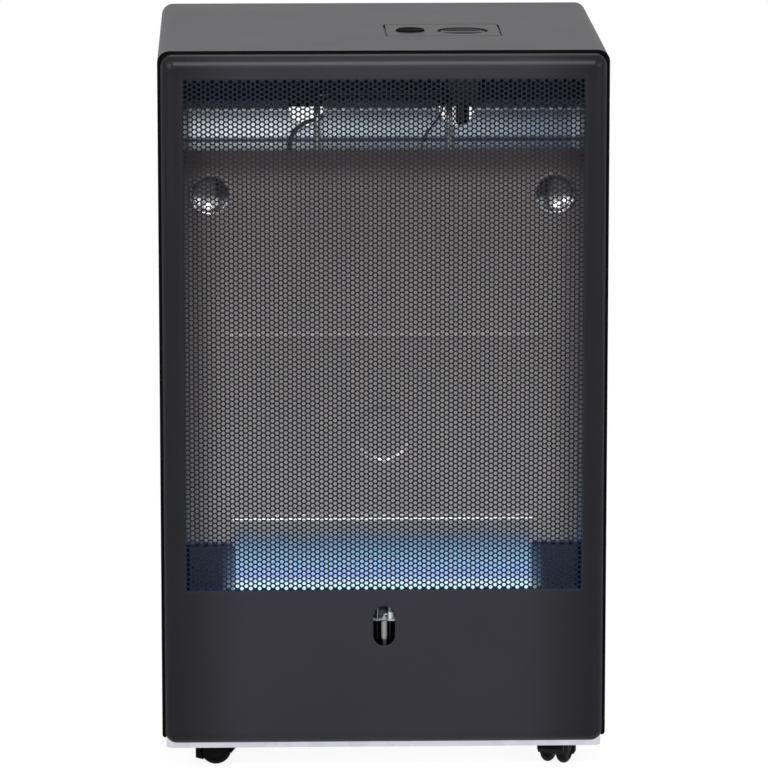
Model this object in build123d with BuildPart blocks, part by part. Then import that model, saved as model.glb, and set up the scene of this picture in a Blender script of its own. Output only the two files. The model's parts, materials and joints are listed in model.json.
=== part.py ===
from build123d import *
import os
from math import cos, radians, sin, sqrt

# Blue-flame gas cabinet heater on four twin-wheel casters.
# Millimetres. Origin on the floor under the middle of the cabinet,
# +X to the right, -Y towards the room (front), +Z up.

# ---------------------------------------------------------------- cabinet
cabinet_width = 450.0
casing_depth = 385.0
casing_top = 738.0       # top sheet above the floor
panel_bottom = 31.0      # lower edge of the front panel above the floor
front_proud = 12.0       # front panel stands out of the casing
rear_proud = 3.0         # louvres stand out of the casing
casing_lift = 5.0        # casing ends this far above the front panel's edge
casing_bend = 12.0       # bend radius of the wrapped casing
hem_radius = 3.5         # rolled lower hem of the casing
sheet = 0.8              # outer sheets
inner_sheet = 0.6        # inner sheets
base_sheet = 1.0         # floor pan
front_flange = 14.0      # casing's return behind the front panel
rear_flange = 20.0       # casing's return at the back
play = 0.3               # running gap between pieces that move past each other
pin_play = 0.08          # running gap of a pin in its bore
seat_play = 0.02         # gap of a pressed or clamped round seat

# ------------------------------------------------------------ front panel
panel_inset = 3.0        # shadow gap between panel edge and casing edge
panel_corner = 12.0
panel_round = 9.0        # rounding of the pressed edge
panel_rim = 8.0          # return behind the panel
grille_width = 400.0
grille_height = 520.0
grille_base = 160.0      # grille's lower edge above the panel's lower edge
grille_columns = 10
grille_open = 0.72       # hole size as a share of the hole spacing
sight_width = 22.0       # oval sight hole onto the pilot
sight_height = 41.0
sight_rise = 123.0       # its middle above the panel's lower edge

# --------------------------------------------------------------- floor pan
base_inset = 4.0         # pan stands back from the casing's sides
base_floor = 45.0        # top of the floor pan, where the bottle stands
base_lip = 25.0          # lower edge of its skirt
base_corner = 8.0
vent_length = 60.0
vent_width = 10.0
vent_pitch = 26.0
vent_count = 4

# -------------------------------------------------------------- rear parts
rear_closure = 109.0     # height of the fixed panel under the top
rear_stiffener = 12.0
cover_top = 480.0
cover_lap = 10.0         # cover laps over the casing's rear flange
cover_foot = 33.0        # cover's lower edge above the floor
louvre_length = 120.0
louvre_height = 9.0
louvre_pitch = 30.0
louvre_rows = 5
louvre_spacing = 180.0
hook_height = 30.0
hook_low = 110.0
hook_high = 400.0
hook_reach = 8.0
hook_gap = 2.0

# ---------------------------------------------------------- inner chamber
bulkhead_setback = 60.0  # bulkhead behind the casing's front edge
fold_height = 638.0
shelf_height = 671.0
shelf_depth = 58.0
shelf_lip = 12.0
band_lean = 8.0
notch_offset = 75.5      # pipe notches either side of the middle
notch_radius = 17.5
notch_depth = 45.0
bulkhead_wing = 15.0
shield_gap = 12.0        # space for the pipes behind the shield
shield_inset = 13.0      # shield's edges stand in from the cabinet's sides
shield_bottom = 226.0
shield_top = 631.0
cup_offset = 174.0       # pressed fixing cups of the shield
cup_height = 586.0
cup_radius = 19.0
cup_bevel = 8.0
cup_sides = 16
ring_radius = 32.0
ring_height = 349.0
ring_depth = 1.5
ring_sides = 24
swage_height = 441.0
swage_length = 326.0
swage_width = 3.0
cheek_front_inset = 18.0
cheek_back_inset = 26.5
cheek_bottom = 150.0
cheek_margin = 2.0

# ----------------------------------------------------------------- burner
burner_inset = 75.0      # from the cabinet's side to the burner's end
burner_depth = 28.0
burner_bottom = 150.0
burner_top = 178.0
burner_round = 8.0
burner_wall = 1.0
port_plate = 2.0
port_count = 20
port_length = 18.0
port_width = 3.0
guard_inset = 72.5
guard_bottom = 168.0
guard_top = 255.0
guard_ledge = 8.0
bracket_width = 46.0
bracket_bottom = 140.0
venturi_radius = 11.0
venturi_length = 18.0
venturi_rise = 13.0      # its axis above the burner's underside
injector_flats = 12.0
injector_length = 8.0
injector_tip = 3.0
elbow_size = 14.0
elbow_height = 16.0
elbow_bevel = 2.0

# ------------------------------------------------------------------ pilot
pilot_shelf = 159.0      # top of the pilot bracket
pilot_reach = 18.0
pilot_left = -11.0
pilot_right = 12.5
pilot_tab = 8.0
pilot_sheet = 1.2
pilot_rise = 12.0        # pilot parts and bracket's back tab above the shelf
pilot_stem = 3.0
pilot_collar = 1.0
pilot_stub = 13.0        # pilot parts below the shelf
ceramic_radius = 3.1
ceramic_rise = 3.0
wire_radius = 0.8
electrode_stub = 20.0
couple_radius = 2.0
couple_stub = 13.0
burner_pilot_x = 6.5
burner_pilot_reach = 6.5  # pilot parts in front of the burner
electrode_x = 0.8
electrode_reach = 14.5
couple_x = -6.5
couple_reach = 7.5

# --------------------------------------------------------- top controls
disc_sides = 24          # flats of the knob, the button and what surrounds them
console_x = 64.0
console_setback = 157.5  # from the casing's front edge to its middle
console_width = 119.0    # cut-out in the top sheet
console_depth = 95.0
console_corner = 6.0
console_rim = 6.0        # flange under the top sheet
console_plate = 2.0
console_groove = 2.0
console_rise = 2.8       # raised field in the groove
knob_x = 84.5
control_setback = 153.0
knob_radius = 23.5
knob_height = 16.0
knob_top = 737.0
knob_dish = 6.0
knob_wall = 3.0
grip_width = 9.0
well_radius = 26.0
well_floor = 714.0
well_wall = 2.0
push_travel = 3.0
travel_margin = 1.0      # space left below a pushed piece
button_x = 31.0
button_radius = 14.5
button_top = 740.0
button_bottom = 724.0
button_gap = 0.5
button_travel = 5.0
button_bevel = 1.2
button_stem = 3.0
stem_length = 20.0
piezo_floor = 712.0
piezo_wall = 1.5
piezo_barrel = 8.0
piezo_bottom = 676.0
valve_width = 44.0
valve_depth = 50.0
valve_bottom = 664.0
valve_height = 40.0
valve_bevel = 6.0
valve_boss = 12.0
plunger_radius = 7.0
plunger_bottom = 690.0
plunger_top = 712.0
spindle_radius = 4.0
spindle_bottom = 693.0
spindle_top = 731.0
nozzle_flats = 14.0
nozzle_nut = 10.0
nozzle_radius = 4.2
nozzle_length = 16.0

# ------------------------------------------------------- pipes and leads
pipe_sides = 5
burner_pipe_radius = 4.0
pilot_pipe_radius = 2.0
couple_lead_radius = 1.2
spark_lead_radius = 2.2
burner_riser = 70.0      # places across the cabinet where each one climbs behind the shield
pilot_riser = -62.0
couple_riser = 50.0
spark_riser = -112.0
pilot_port = -56.0
duct_rise = 8.0          # crossing of the pipes above the shelf
lead_drop = 24.0         # lowest run under the burner brackets
lead_step = 9.0
lead_bend = 24.0
tight_bend = 12.0
elbow_bend = 9.0
couple_bend_height = 640.0
couple_back_x = 63.0
couple_port_x = 66.0
couple_port_height = 690.0
spark_bend_height = 610.0
spark_over_x = -80.0
spark_over_height = 652.0
spark_back_x = -70.0
spark_back_y = -100.0
spark_back_height = 666.0
spark_drop = 26.0        # slack of the lead below the igniter
lead_play = 2.0          # leads lie this far in front of the bulkhead

# --------------------------------------------------------------- casters
wheel_radius = 16.0
wheel_facets = 24
wheel_width = 11.0
web_width = 5.4
axle_radius = 2.0
axle_reach = 8.0         # axle's length inside each wheel
caster_trail = 11.0
caster_inset = 43.0      # studs stand in from the cabinet's sides, front and back
caster_front_inset = 40.0
caster_rear_inset = 45.0
hood_wall = 2.5
hood_clear = 1.5
hood_top = 41.2
hood_back = 6.0          # hood's lower edge behind and in front of the wheels
hood_front = 15.0
hood_boss = 7.5
caster_plate_size = 34.0
caster_plate = 2.0
stud_radius = 4.0
stud_length = 8.0

# ------------------------------------------------------------- fasteners
screw_flats = 7.0
screw_head = 2.2
screw_shank = 1.9
screw_hole = 2.0
screw_length = 5.0
screw_sides = 6
panel_screw_rise = 22.0  # screws of the fixed rear panel, from its lower edge
panel_screw_pitch = 62.0

# -------------------------------------------------------- derived places
half_width = cabinet_width / 2
front_plane = front_proud - (front_proud + casing_depth + rear_proud) / 2
back_plane = front_plane + casing_depth
casing_bottom = panel_bottom + casing_lift
inner_half = half_width - sheet
base_half = half_width - base_inset
base_back = back_plane - sheet
panel_half = half_width - panel_inset
panel_top = casing_top - panel_inset
panel_middle = (panel_bottom + panel_top) / 2
grille_middle = panel_bottom + grille_base + grille_height / 2
console_y = front_plane + console_setback
control_y = front_plane + control_setback
bulkhead_plane = front_plane + bulkhead_setback
shield_plane = bulkhead_plane - shield_gap
pipe_plane = bulkhead_plane - (shield_gap - inner_sheet) / 2
guard_plane = shield_plane - guard_ledge
shield_half = half_width - shield_inset
cheek_front = half_width - cheek_front_inset
cheek_back = half_width - cheek_back_inset
caster_x = half_width - caster_inset
caster_front_y = front_plane + caster_front_inset
caster_rear_y = back_plane - caster_rear_inset
burner_length = cabinet_width - 2 * burner_inset
guard_half = half_width - guard_inset
burner_back = guard_plane
burner_middle = burner_back - burner_depth / 2
burner_front = burner_back - burner_depth
burner_pilot_y = burner_front - burner_pilot_reach
electrode_y = burner_front - electrode_reach
couple_y = burner_front - couple_reach
venturi_height = burner_bottom + venturi_rise
rear_inner = back_plane - sheet
cover_plane = back_plane + play
closure_bottom = casing_top - rear_closure
panel_screw_x = half_width - (rear_flange + sheet) / 2
panel_screws = [(side * panel_screw_x, closure_bottom + panel_screw_rise + step * panel_screw_pitch)
                for side in (-1, 1) for step in (0, 1)]
console_under = casing_top - sheet
console_base = console_under - console_rim + console_plate

os.makedirs("parts", exist_ok=True)


def keep(piece, label):
    """Name a finished piece and write it."""
    piece.part.label = label
    export_step(piece.part, f"parts/{label}.step")


def across(y):
    """Upright plane across the cabinet at depth y, drawn in X and Z."""
    return Plane.XZ.offset(-y)


def folded(plane, points, thickness):
    """Section of a folded sheet: one face on the points, the sheet to the left of their run."""
    corners = [Vector(*point) for point in points]
    normals = [(after - before).normalized().rotate(Axis.Z, 90) for before, after in zip(corners, corners[1:])]
    inner = [corner + (before + after) * (thickness / (1 + before.dot(after)))
             for corner, before, after in zip(corners, normals[:1] + normals, normals + normals[-1:])]
    with BuildSketch(plane) as section:
        with BuildLine():
            Polyline(*corners, *reversed(inner), close=True)
        make_face()
    return section.sketch


def box_on(plane, left, right, low, high):
    """Rectangle on a plane from its edges."""
    with BuildSketch(plane) as field:
        with Locations(((left + right) / 2, (low + high) / 2)):
            Rectangle(right - left, high - low)
    return field.sketch


def disc_on(plane, x, y, radius):
    """Circle on a plane about a centre."""
    with BuildSketch(plane) as field:
        with Locations((x, y)):
            Circle(radius)
    return field.sketch


def bore_on(plane, x, y, radius, sides=12):
    """Polygon around a circle, for bores and for parts measured across flats."""
    with BuildSketch(plane) as field:
        with Locations((x, y)):
            RegularPolygon(radius, sides, major_radius=False)
    return field.sketch


def pin_on(plane, x, y, radius, sides=12):
    """Polygon inside a circle, for pins and small round pieces."""
    with BuildSketch(plane) as field:
        with Locations((x, y)):
            RegularPolygon(radius, sides)
    return field.sketch


def cut_screw_holes(plane, places):
    """Holes for screws that enter a sheet at this depth, towards the front."""
    for x, z in places:
        extrude(bore_on(across(plane), x, z, screw_hole, screw_sides), amount=sheet, mode=Mode.SUBTRACT)


def screws(plane, places, side):
    """Hexagon-head screws seated on a sheet at this depth, their heads towards the given side."""
    with BuildPart() as group:
        for x, z in places:
            extrude(bore_on(across(plane), x, z, screw_flats / 2, 6), amount=-side * screw_head)
            extrude(pin_on(across(plane), x, z, screw_shank, screw_sides), amount=side * screw_length)
    return group


# ------------------------------------------------------------------ casing
def casing_section(y, inset):
    """Front view of the wrapped sheet, drawn in by the inset."""
    height = casing_top - casing_bottom - 2 * inset
    with BuildSketch(across(y)) as section:
        with Locations((0, casing_bottom + inset + height / 2)):
            Rectangle(2 * (half_width - inset), height)
        fillet(section.vertices().group_by(Axis.Y)[0], radius=hem_radius - inset)
        fillet(section.vertices().group_by(Axis.Y)[-1], radius=casing_bend - inset)
    return section.sketch


with BuildPart() as casing:
    extrude(casing_section(front_plane, 0), amount=-casing_depth)
    extrude(casing_section(front_plane + sheet, sheet), amount=-(casing_depth - 2 * sheet), mode=Mode.SUBTRACT)
    front_hole = half_width - front_flange
    extrude(box_on(across(front_plane), -front_hole, front_hole, casing_bottom - sheet, casing_top - front_flange),
            amount=-2 * sheet, mode=Mode.SUBTRACT)
    rear_hole = half_width - rear_flange
    extrude(box_on(across(back_plane), -rear_hole, rear_hole, casing_bottom - sheet, casing_top - rear_flange),
            amount=2 * sheet, mode=Mode.SUBTRACT)
    extrude(box_on(Plane.XY.offset(casing_bottom), -base_half, base_half, front_plane, rear_inner),
            amount=base_floor - casing_bottom, mode=Mode.SUBTRACT)
    with BuildSketch(Plane.XY.offset(casing_top)):
        with Locations((console_x, console_y)):
            RectangleRounded(console_width, console_depth, console_corner)
    extrude(amount=-sheet, mode=Mode.SUBTRACT)
    cut_screw_holes(back_plane, panel_screws)
keep(casing, "casing")

# ------------------------------------------------------------- front panel
grille_pitch_x = grille_width / grille_columns
grille_pitch_z = grille_pitch_x * 2 / sqrt(3)
grille_rows = int(grille_height / grille_pitch_z)


def panel_blank(inset, soften):
    """Block of the panel drawn in by the inset, its front edges rounded or bevelled."""
    with BuildPart() as blank:
        with BuildSketch(across(front_plane)):
            with Locations((0, panel_middle)):
                RectangleRounded(2 * (panel_half - inset), panel_top - panel_bottom - 2 * inset,
                                 panel_corner - inset)
        extrude(amount=front_proud - inset)
        soften(blank.faces().sort_by(Axis.Y)[0].edges(), panel_round - inset)
    return blank.part


with BuildPart() as front_panel:
    add(panel_blank(0, fillet))
    add(panel_blank(sheet, chamfer), mode=Mode.SUBTRACT)
    with BuildSketch(across(front_plane)):
        with Locations((0, panel_middle)):
            RectangleRounded(2 * panel_half, panel_top - panel_bottom, panel_corner)
            Rectangle(2 * (panel_half - panel_rim), panel_top - panel_bottom - 2 * panel_rim, mode=Mode.SUBTRACT)
    extrude(amount=sheet)
    with BuildSketch(across(front_plane - front_proud)):
        with Locations((0, grille_middle)):
            for side, rows in ((-1, grille_rows), (1, grille_rows - 1)):
                with Locations((side * grille_pitch_x / 2, 0)):
                    with GridLocations(2 * grille_pitch_x, grille_pitch_z, grille_columns // 2, rows):
                        RegularPolygon(grille_open * grille_pitch_z / sqrt(3), 6)
        with Locations((0, panel_bottom + sight_rise)):
            SlotOverall(sight_height, sight_width, rotation=90)
    extrude(amount=-2 * sheet, mode=Mode.SUBTRACT)
keep(front_panel, "front_panel")

# --------------------------------------------------------------- floor pan
with BuildPart() as base_tray:
    base_middle = (front_plane + base_back) / 2
    with BuildSketch(Plane.XY.offset(base_lip)):
        with Locations((0, base_middle)):
            RectangleRounded(2 * base_half, base_back - front_plane, base_corner)
    extrude(amount=base_floor - base_lip)
    with BuildSketch(Plane.XY.offset(base_lip)):
        with Locations((0, base_middle)):
            RectangleRounded(2 * (base_half - base_sheet), base_back - front_plane - 2 * base_sheet,
                             base_corner - base_sheet)
    extrude(amount=base_floor - base_lip - base_sheet, mode=Mode.SUBTRACT)
    with BuildSketch(Plane.XY.offset(base_floor)):
        for side in (-1, 1):
            with Locations((side * half_width / 2, base_middle)):
                with GridLocations(0, vent_pitch, 1, vent_count):
                    Rectangle(vent_length, vent_width)
    extrude(amount=-base_sheet, mode=Mode.SUBTRACT)
keep(base_tray, "base_tray")

# ------------------------------------------------------------- rear panels
with BuildPart() as rear_upper_panel:
    closure_plane = rear_inner - sheet
    with BuildSketch(across(rear_inner)) as closure:
        with Locations((0, (closure_bottom + console_under) / 2)):
            Rectangle(2 * inner_half, console_under - closure_bottom)
        fillet(closure.vertices().group_by(Axis.Y)[-1], radius=casing_bend - sheet)
    extrude(amount=sheet)
    extrude(box_on(across(closure_plane), -rear_hole, rear_hole, closure_bottom, closure_bottom + sheet),
            amount=rear_stiffener)
    cut_screw_holes(rear_inner, panel_screws)
keep(rear_upper_panel, "rear_upper_panel")
keep(screws(back_plane, panel_screws, 1), "rear_panel_screws")

cover_half = rear_hole + cover_lap
louvre_proud = rear_proud - play - sheet
louvre_middle = (cover_foot + cover_top) / 2
louvre_places = [(column * louvre_spacing / 2, louvre_middle + (row - (louvre_rows - 1) / 2) * louvre_pitch)
                 for column in (-1, 1) for row in range(louvre_rows)]


with BuildPart() as rear_cover:
    extrude(box_on(across(cover_plane), -cover_half, cover_half, cover_foot, cover_top), amount=-sheet)
    inward = rear_hole - hook_gap - hook_reach
    extrude(box_on(across(cover_plane), -inward, inward, base_floor, base_floor + sheet), amount=rear_stiffener)
    extrude(box_on(across(cover_plane), -inward, inward, cover_top - sheet, cover_top), amount=rear_stiffener)
    for x, z in louvre_places:
        cut = box_on(across(cover_plane), x - louvre_length / 2, x + louvre_length / 2,
                     z - louvre_height / 2, z + louvre_height / 2)
        extrude(cut, amount=-sheet, mode=Mode.SUBTRACT)
        with BuildSketch(Plane.YZ.offset(x)):
            with BuildLine():
                face = cover_plane + sheet
                lip = z - louvre_height / 4
                Polyline((cover_plane, z + louvre_height / 2), (face, z + louvre_height / 2),
                         (face + louvre_proud, lip), (face + louvre_proud - sheet, lip),
                         (cover_plane, z + louvre_height / 4), close=True)
            make_face()
        extrude(amount=louvre_length / 2, both=True)
    for side in (-1, 1):
        for z in (hook_low, hook_high):
            outer, inner = side * (rear_hole - hook_gap), side * (rear_hole - hook_gap - sheet)
            behind = rear_inner - play
            clip = folded(Plane.XY.offset(z),
                          [(outer, cover_plane), (outer, behind), (side * (rear_hole + hook_reach), behind)],
                          -side * sheet)
            extrude(clip, amount=hook_height)
keep(rear_cover, "rear_cover")

# ------------------------------------------------------------ heat bulkhead
with BuildPart() as bulkhead:
    band_plane = bulkhead_plane + band_lean
    shelf_end = band_plane + shelf_depth
    extrude(folded(Plane.YZ, [(bulkhead_plane, base_floor), (bulkhead_plane, fold_height),
                              (band_plane, shelf_height), (shelf_end, shelf_height),
                              (shelf_end, shelf_height - shelf_lip)], -inner_sheet),
            amount=inner_half, both=True)
    for side in (-1, 1):
        wing = box_on(Plane.XY.offset(base_floor), min(side * inner_half, side * (inner_half - inner_sheet)),
                      max(side * inner_half, side * (inner_half - inner_sheet)),
                      bulkhead_plane, bulkhead_plane + bulkhead_wing)
        extrude(wing, amount=fold_height - base_floor)
        notch = side * notch_offset
        extrude(bore_on(across(bulkhead_plane), notch, shelf_height + inner_sheet, notch_radius, 16),
                amount=-(band_lean + 2 * inner_sheet), mode=Mode.SUBTRACT)
        extrude(box_on(Plane.XY.offset(shelf_height), notch - notch_radius, notch + notch_radius,
                       band_plane, band_plane + notch_depth), amount=-inner_sheet, mode=Mode.SUBTRACT)
        extrude(bore_on(across(bulkhead_plane), side * cup_offset, cup_height, screw_hole, screw_sides),
                amount=-inner_sheet, mode=Mode.SUBTRACT)
keep(bulkhead, "bulkhead")

# ------------------------------------------------------------- heat shield
def cup_block(x, wall):
    """Bevelled block of a pressed fixing cup, or with no wall its hollow."""
    with BuildPart() as block:
        extrude(pin_on(across(shield_plane), x, cup_height, cup_radius + wall, cup_sides),
                amount=-(shield_gap - inner_sheet + wall))
        chamfer(block.faces().sort_by(Axis.Y)[-1].edges(), length=cup_bevel)
    return block.part


with BuildPart() as heat_shield:
    wing_plane = bulkhead_plane
    extrude(folded(Plane.XY.offset(shield_bottom),
                   [(-shield_half, wing_plane), (-shield_half, shield_plane),
                    (shield_half, shield_plane), (shield_half, wing_plane)], inner_sheet),
            amount=shield_top - shield_bottom)
    for side in (-1, 1):
        add(cup_block(side * cup_offset, inner_sheet))
        add(cup_block(side * cup_offset, 0), mode=Mode.SUBTRACT)
        extrude(bore_on(across(bulkhead_plane), side * cup_offset, cup_height, screw_hole, screw_sides),
                amount=2 * inner_sheet, mode=Mode.SUBTRACT)
    extrude(pin_on(across(shield_plane), 0, ring_height, ring_radius + inner_sheet, ring_sides),
            amount=-(ring_depth + inner_sheet))
    extrude(pin_on(across(shield_plane), 0, ring_height, ring_radius, ring_sides),
            amount=-ring_depth, mode=Mode.SUBTRACT)
    extrude(box_on(across(shield_plane), -swage_length / 2, swage_length / 2,
                   swage_height - swage_width / 2, swage_height + swage_width / 2), amount=ring_depth)
keep(heat_shield, "heat_shield")
keep(screws(bulkhead_plane - inner_sheet, [(-cup_offset, cup_height), (cup_offset, cup_height)], -1), "shield_screws")


def cheek_section(side):
    """Plan of one side cheek: a front flange, the slanted wall and a flange on the shield."""
    front = front_plane + sheet
    return folded(Plane.XY.offset(cheek_bottom),
                  [(side * inner_half, front), (side * cheek_front, front),
                   (side * cheek_back, shield_plane), (side * (shield_half - cheek_margin), shield_plane)],
                  -side * inner_sheet)


for side, hand in ((-1, "left"), (1, "right")):
    with BuildPart() as cheek:
        extrude(cheek_section(side), amount=shelf_height - cheek_bottom)
    keep(cheek, f"cheek_{hand}")

# ------------------------------------------------------------------ burner
with BuildPart() as burner_body:
    with BuildSketch(Plane.YZ) as section:
        with Locations((burner_middle, (burner_bottom + burner_top - port_plate) / 2)):
            Rectangle(burner_depth, burner_top - port_plate - burner_bottom)
        fillet(section.vertices().group_by(Axis.Y)[0], radius=burner_round)
    extrude(amount=burner_length / 2, both=True)
    offset(amount=-burner_wall, openings=burner_body.faces().sort_by(Axis.Z)[-1])
    extrude(pin_on(Plane.YZ.offset(burner_length / 2), burner_middle, venturi_height, venturi_radius, disc_sides),
            amount=venturi_length)
    extrude(pin_on(Plane.YZ.offset(burner_length / 2 - 2 * burner_wall), burner_middle, venturi_height,
                   venturi_radius - burner_wall, disc_sides),
            amount=venturi_length + 2 * burner_wall, mode=Mode.SUBTRACT)
keep(burner_body, "burner_body")

with BuildPart() as burner_ports:
    extrude(box_on(Plane.XY.offset(burner_top - port_plate), -burner_length / 2, burner_length / 2,
                   burner_front, burner_back), amount=port_plate)
    with BuildSketch(Plane.XY.offset(burner_top)):
        with Locations((0, burner_middle)):
            with GridLocations(burner_length / (port_count + 1), 0, port_count, 1):
                Rectangle(port_width, port_length)
    extrude(amount=-port_plate, mode=Mode.SUBTRACT)
keep(burner_ports, "burner_ports")

with BuildPart() as flame_guard:
    extrude(folded(Plane.YZ, [(guard_plane, guard_bottom), (guard_plane, guard_top), (shield_plane, guard_top)],
                   -inner_sheet), amount=guard_half, both=True)
keep(flame_guard, "flame_guard")

elbow_x = burner_length / 2 + bracket_width - elbow_size / 2
web_plane = burner_back - inner_sheet


def bracket_section(side):
    """Plan of one burner bracket: end plate, front web and flange on the bulkhead."""
    start = burner_length / 2
    end = start + bracket_width
    return folded(Plane.XY.offset(bracket_bottom),
                  [(side * start, burner_front), (side * start, burner_back),
                   (side * end, burner_back), (side * end, bulkhead_plane)],
                  -side * inner_sheet)


for side, hand in ((-1, "left"), (1, "right")):
    with BuildPart() as bracket:
        extrude(bracket_section(side), amount=shield_bottom - play - bracket_bottom)
        extrude(box_on(Plane.XY.offset(burner_top), -cheek_back, cheek_back, burner_front, web_plane),
                amount=shield_bottom - burner_top, mode=Mode.SUBTRACT)
        if side > 0:
            extrude(bore_on(Plane.YZ.offset(burner_length / 2), burner_middle, venturi_height,
                            venturi_radius + seat_play, disc_sides), amount=2 * inner_sheet, mode=Mode.SUBTRACT)
            extrude(bore_on(across(burner_back), elbow_x, venturi_height, burner_pipe_radius + seat_play, pipe_sides),
                    amount=2 * inner_sheet, mode=Mode.SUBTRACT)
    keep(bracket, f"burner_bracket_{hand}")

with BuildPart() as injector:
    nut_end = elbow_x - elbow_size / 2
    extrude(bore_on(Plane.YZ.offset(nut_end), burner_middle, venturi_height, injector_flats / 2, 6),
            amount=-injector_length)
    extrude(pin_on(Plane.YZ.offset(nut_end - injector_length), burner_middle, venturi_height, injector_tip),
            amount=-injector_length)
keep(injector, "injector")

with BuildPart() as injector_elbow:
    extrude(box_on(across(web_plane), elbow_x - elbow_size / 2, elbow_x + elbow_size / 2,
                   venturi_height - elbow_height / 2, venturi_height + elbow_height / 2),
            amount=web_plane - burner_middle + elbow_size / 2)
    chamfer(injector_elbow.edges().filter_by(Axis.Z).group_by(Axis.Y)[0], length=elbow_bevel)
keep(injector_elbow, "injector_elbow")

# ------------------------------------------------------------------- pilot
with BuildPart() as pilot_bracket:
    extrude(box_on(Plane.XY.offset(pilot_shelf), pilot_left, pilot_right, burner_front - pilot_reach, burner_front),
            amount=-pilot_sheet)
    extrude(box_on(Plane.XY.offset(pilot_shelf), pilot_left, pilot_right, burner_front - pilot_sheet, burner_front),
            amount=pilot_rise)
    extrude(box_on(Plane.XY.offset(pilot_shelf), pilot_right - pilot_sheet, pilot_right,
                   burner_front - pilot_reach, burner_front), amount=pilot_tab)
    for x, y, radius in ((burner_pilot_x, burner_pilot_y, pilot_stem), (electrode_x, electrode_y, ceramic_radius),
                         (couple_x, couple_y, couple_radius)):
        extrude(pin_on(Plane.XY.offset(pilot_shelf), x, y, radius + seat_play),
                amount=-pilot_sheet, mode=Mode.SUBTRACT)
keep(pilot_bracket, "pilot_bracket")


def stacked(x, y, foot, steps):
    """Upright round piece from its foot up, as pairs of upper end and radius."""
    with BuildPart() as piece:
        for top, radius in steps:
            extrude(pin_on(Plane.XY.offset(foot), x, y, radius), amount=top - foot)
            foot = top
    return piece


pilot_foot = pilot_shelf - pilot_stub
electrode_foot = pilot_shelf - electrode_stub
couple_foot = pilot_shelf - couple_stub
pilot_head = pilot_shelf + pilot_rise
keep(stacked(burner_pilot_x, burner_pilot_y, pilot_foot,
             [(pilot_shelf, pilot_stem), (pilot_head, pilot_stem + pilot_collar)]), "pilot_burner")
keep(stacked(electrode_x, electrode_y, electrode_foot,
             [(pilot_shelf + ceramic_rise, ceramic_radius), (pilot_head, wire_radius)]), "spark_electrode")
keep(stacked(couple_x, couple_y, couple_foot, [(pilot_head, couple_radius)]), "thermocouple")

# ------------------------------------------------------------- top console
plate_top = console_base + console_plate

with BuildPart() as console:
    with BuildSketch(Plane.XY.offset(console_base)):
        with Locations((console_x, console_y)):
            RectangleRounded(console_width + 2 * console_rim, console_depth + 2 * console_rim,
                             console_corner + console_rim)
    extrude(amount=console_under - console_base)
    with BuildSketch(Plane.XY.offset(plate_top)):
        with Locations((console_x, console_y)):
            RectangleRounded(console_width, console_depth, console_corner)
    extrude(amount=console_under - plate_top, mode=Mode.SUBTRACT)
    with BuildSketch(Plane.XY.offset(plate_top)):
        with Locations((console_x, console_y)):
            RectangleRounded(console_width - 2 * console_groove, console_depth - 2 * console_groove,
                             console_corner - console_groove)
    extrude(amount=console_rise)
    extrude(bore_on(Plane.XY.offset(well_floor), knob_x, control_y, well_radius + well_wall, disc_sides),
            amount=console_base - well_floor)
    extrude(bore_on(Plane.XY.offset(well_floor + well_wall), knob_x, control_y, well_radius, disc_sides),
            amount=casing_top - well_floor, mode=Mode.SUBTRACT)
    extrude(bore_on(Plane.XY.offset(well_floor), knob_x, control_y, plunger_radius + button_gap),
            amount=well_wall, mode=Mode.SUBTRACT)
    extrude(bore_on(Plane.XY.offset(console_base), button_x, control_y, button_radius + button_gap, disc_sides),
            amount=casing_top - console_base, mode=Mode.SUBTRACT)
keep(console, "console")

with BuildPart() as knob:
    extrude(pin_on(Plane.XY.offset(knob_top - knob_height), knob_x, control_y, knob_radius, disc_sides),
            amount=knob_height)
    with BuildSketch(Plane.XY.offset(knob_top)):
        with Locations((knob_x, control_y)):
            RegularPolygon(knob_radius - knob_wall, disc_sides)
            Rectangle(2 * knob_radius, grip_width, mode=Mode.SUBTRACT)
    extrude(amount=-knob_dish, mode=Mode.SUBTRACT)
    extrude(pin_on(Plane.XY.offset(knob_top - knob_height), knob_x, control_y, spindle_radius + seat_play),
            amount=spindle_top - knob_top + knob_height, mode=Mode.SUBTRACT)
keep(knob, "knob")

keep(stacked(knob_x, control_y, spindle_bottom, [(spindle_top, spindle_radius)]), "valve_spindle")

with BuildPart() as valve_plunger:
    extrude(bore_on(Plane.XY.offset(plunger_bottom), knob_x, control_y, plunger_radius, 6),
            amount=plunger_top - plunger_bottom)
    extrude(bore_on(Plane.XY.offset(spindle_bottom - play), knob_x, control_y, spindle_radius + pin_play),
            amount=plunger_top - spindle_bottom + play, mode=Mode.SUBTRACT)
keep(valve_plunger, "valve_plunger")

with BuildPart() as gas_valve:
    valve_top = valve_bottom + valve_height
    with BuildSketch(Plane.XY.offset(valve_bottom)):
        with Locations((knob_x, control_y)):
            Rectangle(valve_width, valve_depth)
    extrude(amount=valve_height)
    chamfer(gas_valve.edges().filter_by(Axis.Z), length=valve_bevel)
    extrude(pin_on(Plane.XY.offset(valve_top), knob_x, control_y, valve_boss),
            amount=well_floor - valve_top)
    pocket = plunger_bottom - push_travel - travel_margin
    extrude(bore_on(Plane.XY.offset(pocket), knob_x, control_y, plunger_radius + pin_play, 6),
            amount=well_floor - pocket, mode=Mode.SUBTRACT)
keep(gas_valve, "gas_valve")

with BuildPart() as inlet_nozzle:
    extrude(bore_on(Plane.XY.offset(valve_bottom), knob_x, control_y, nozzle_flats / 2, 6), amount=-nozzle_nut)
    tail = valve_bottom - nozzle_nut
    extrude(disc_on(Plane.XY.offset(tail), knob_x, control_y, nozzle_radius), amount=-nozzle_length)
keep(inlet_nozzle, "inlet_nozzle")

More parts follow.
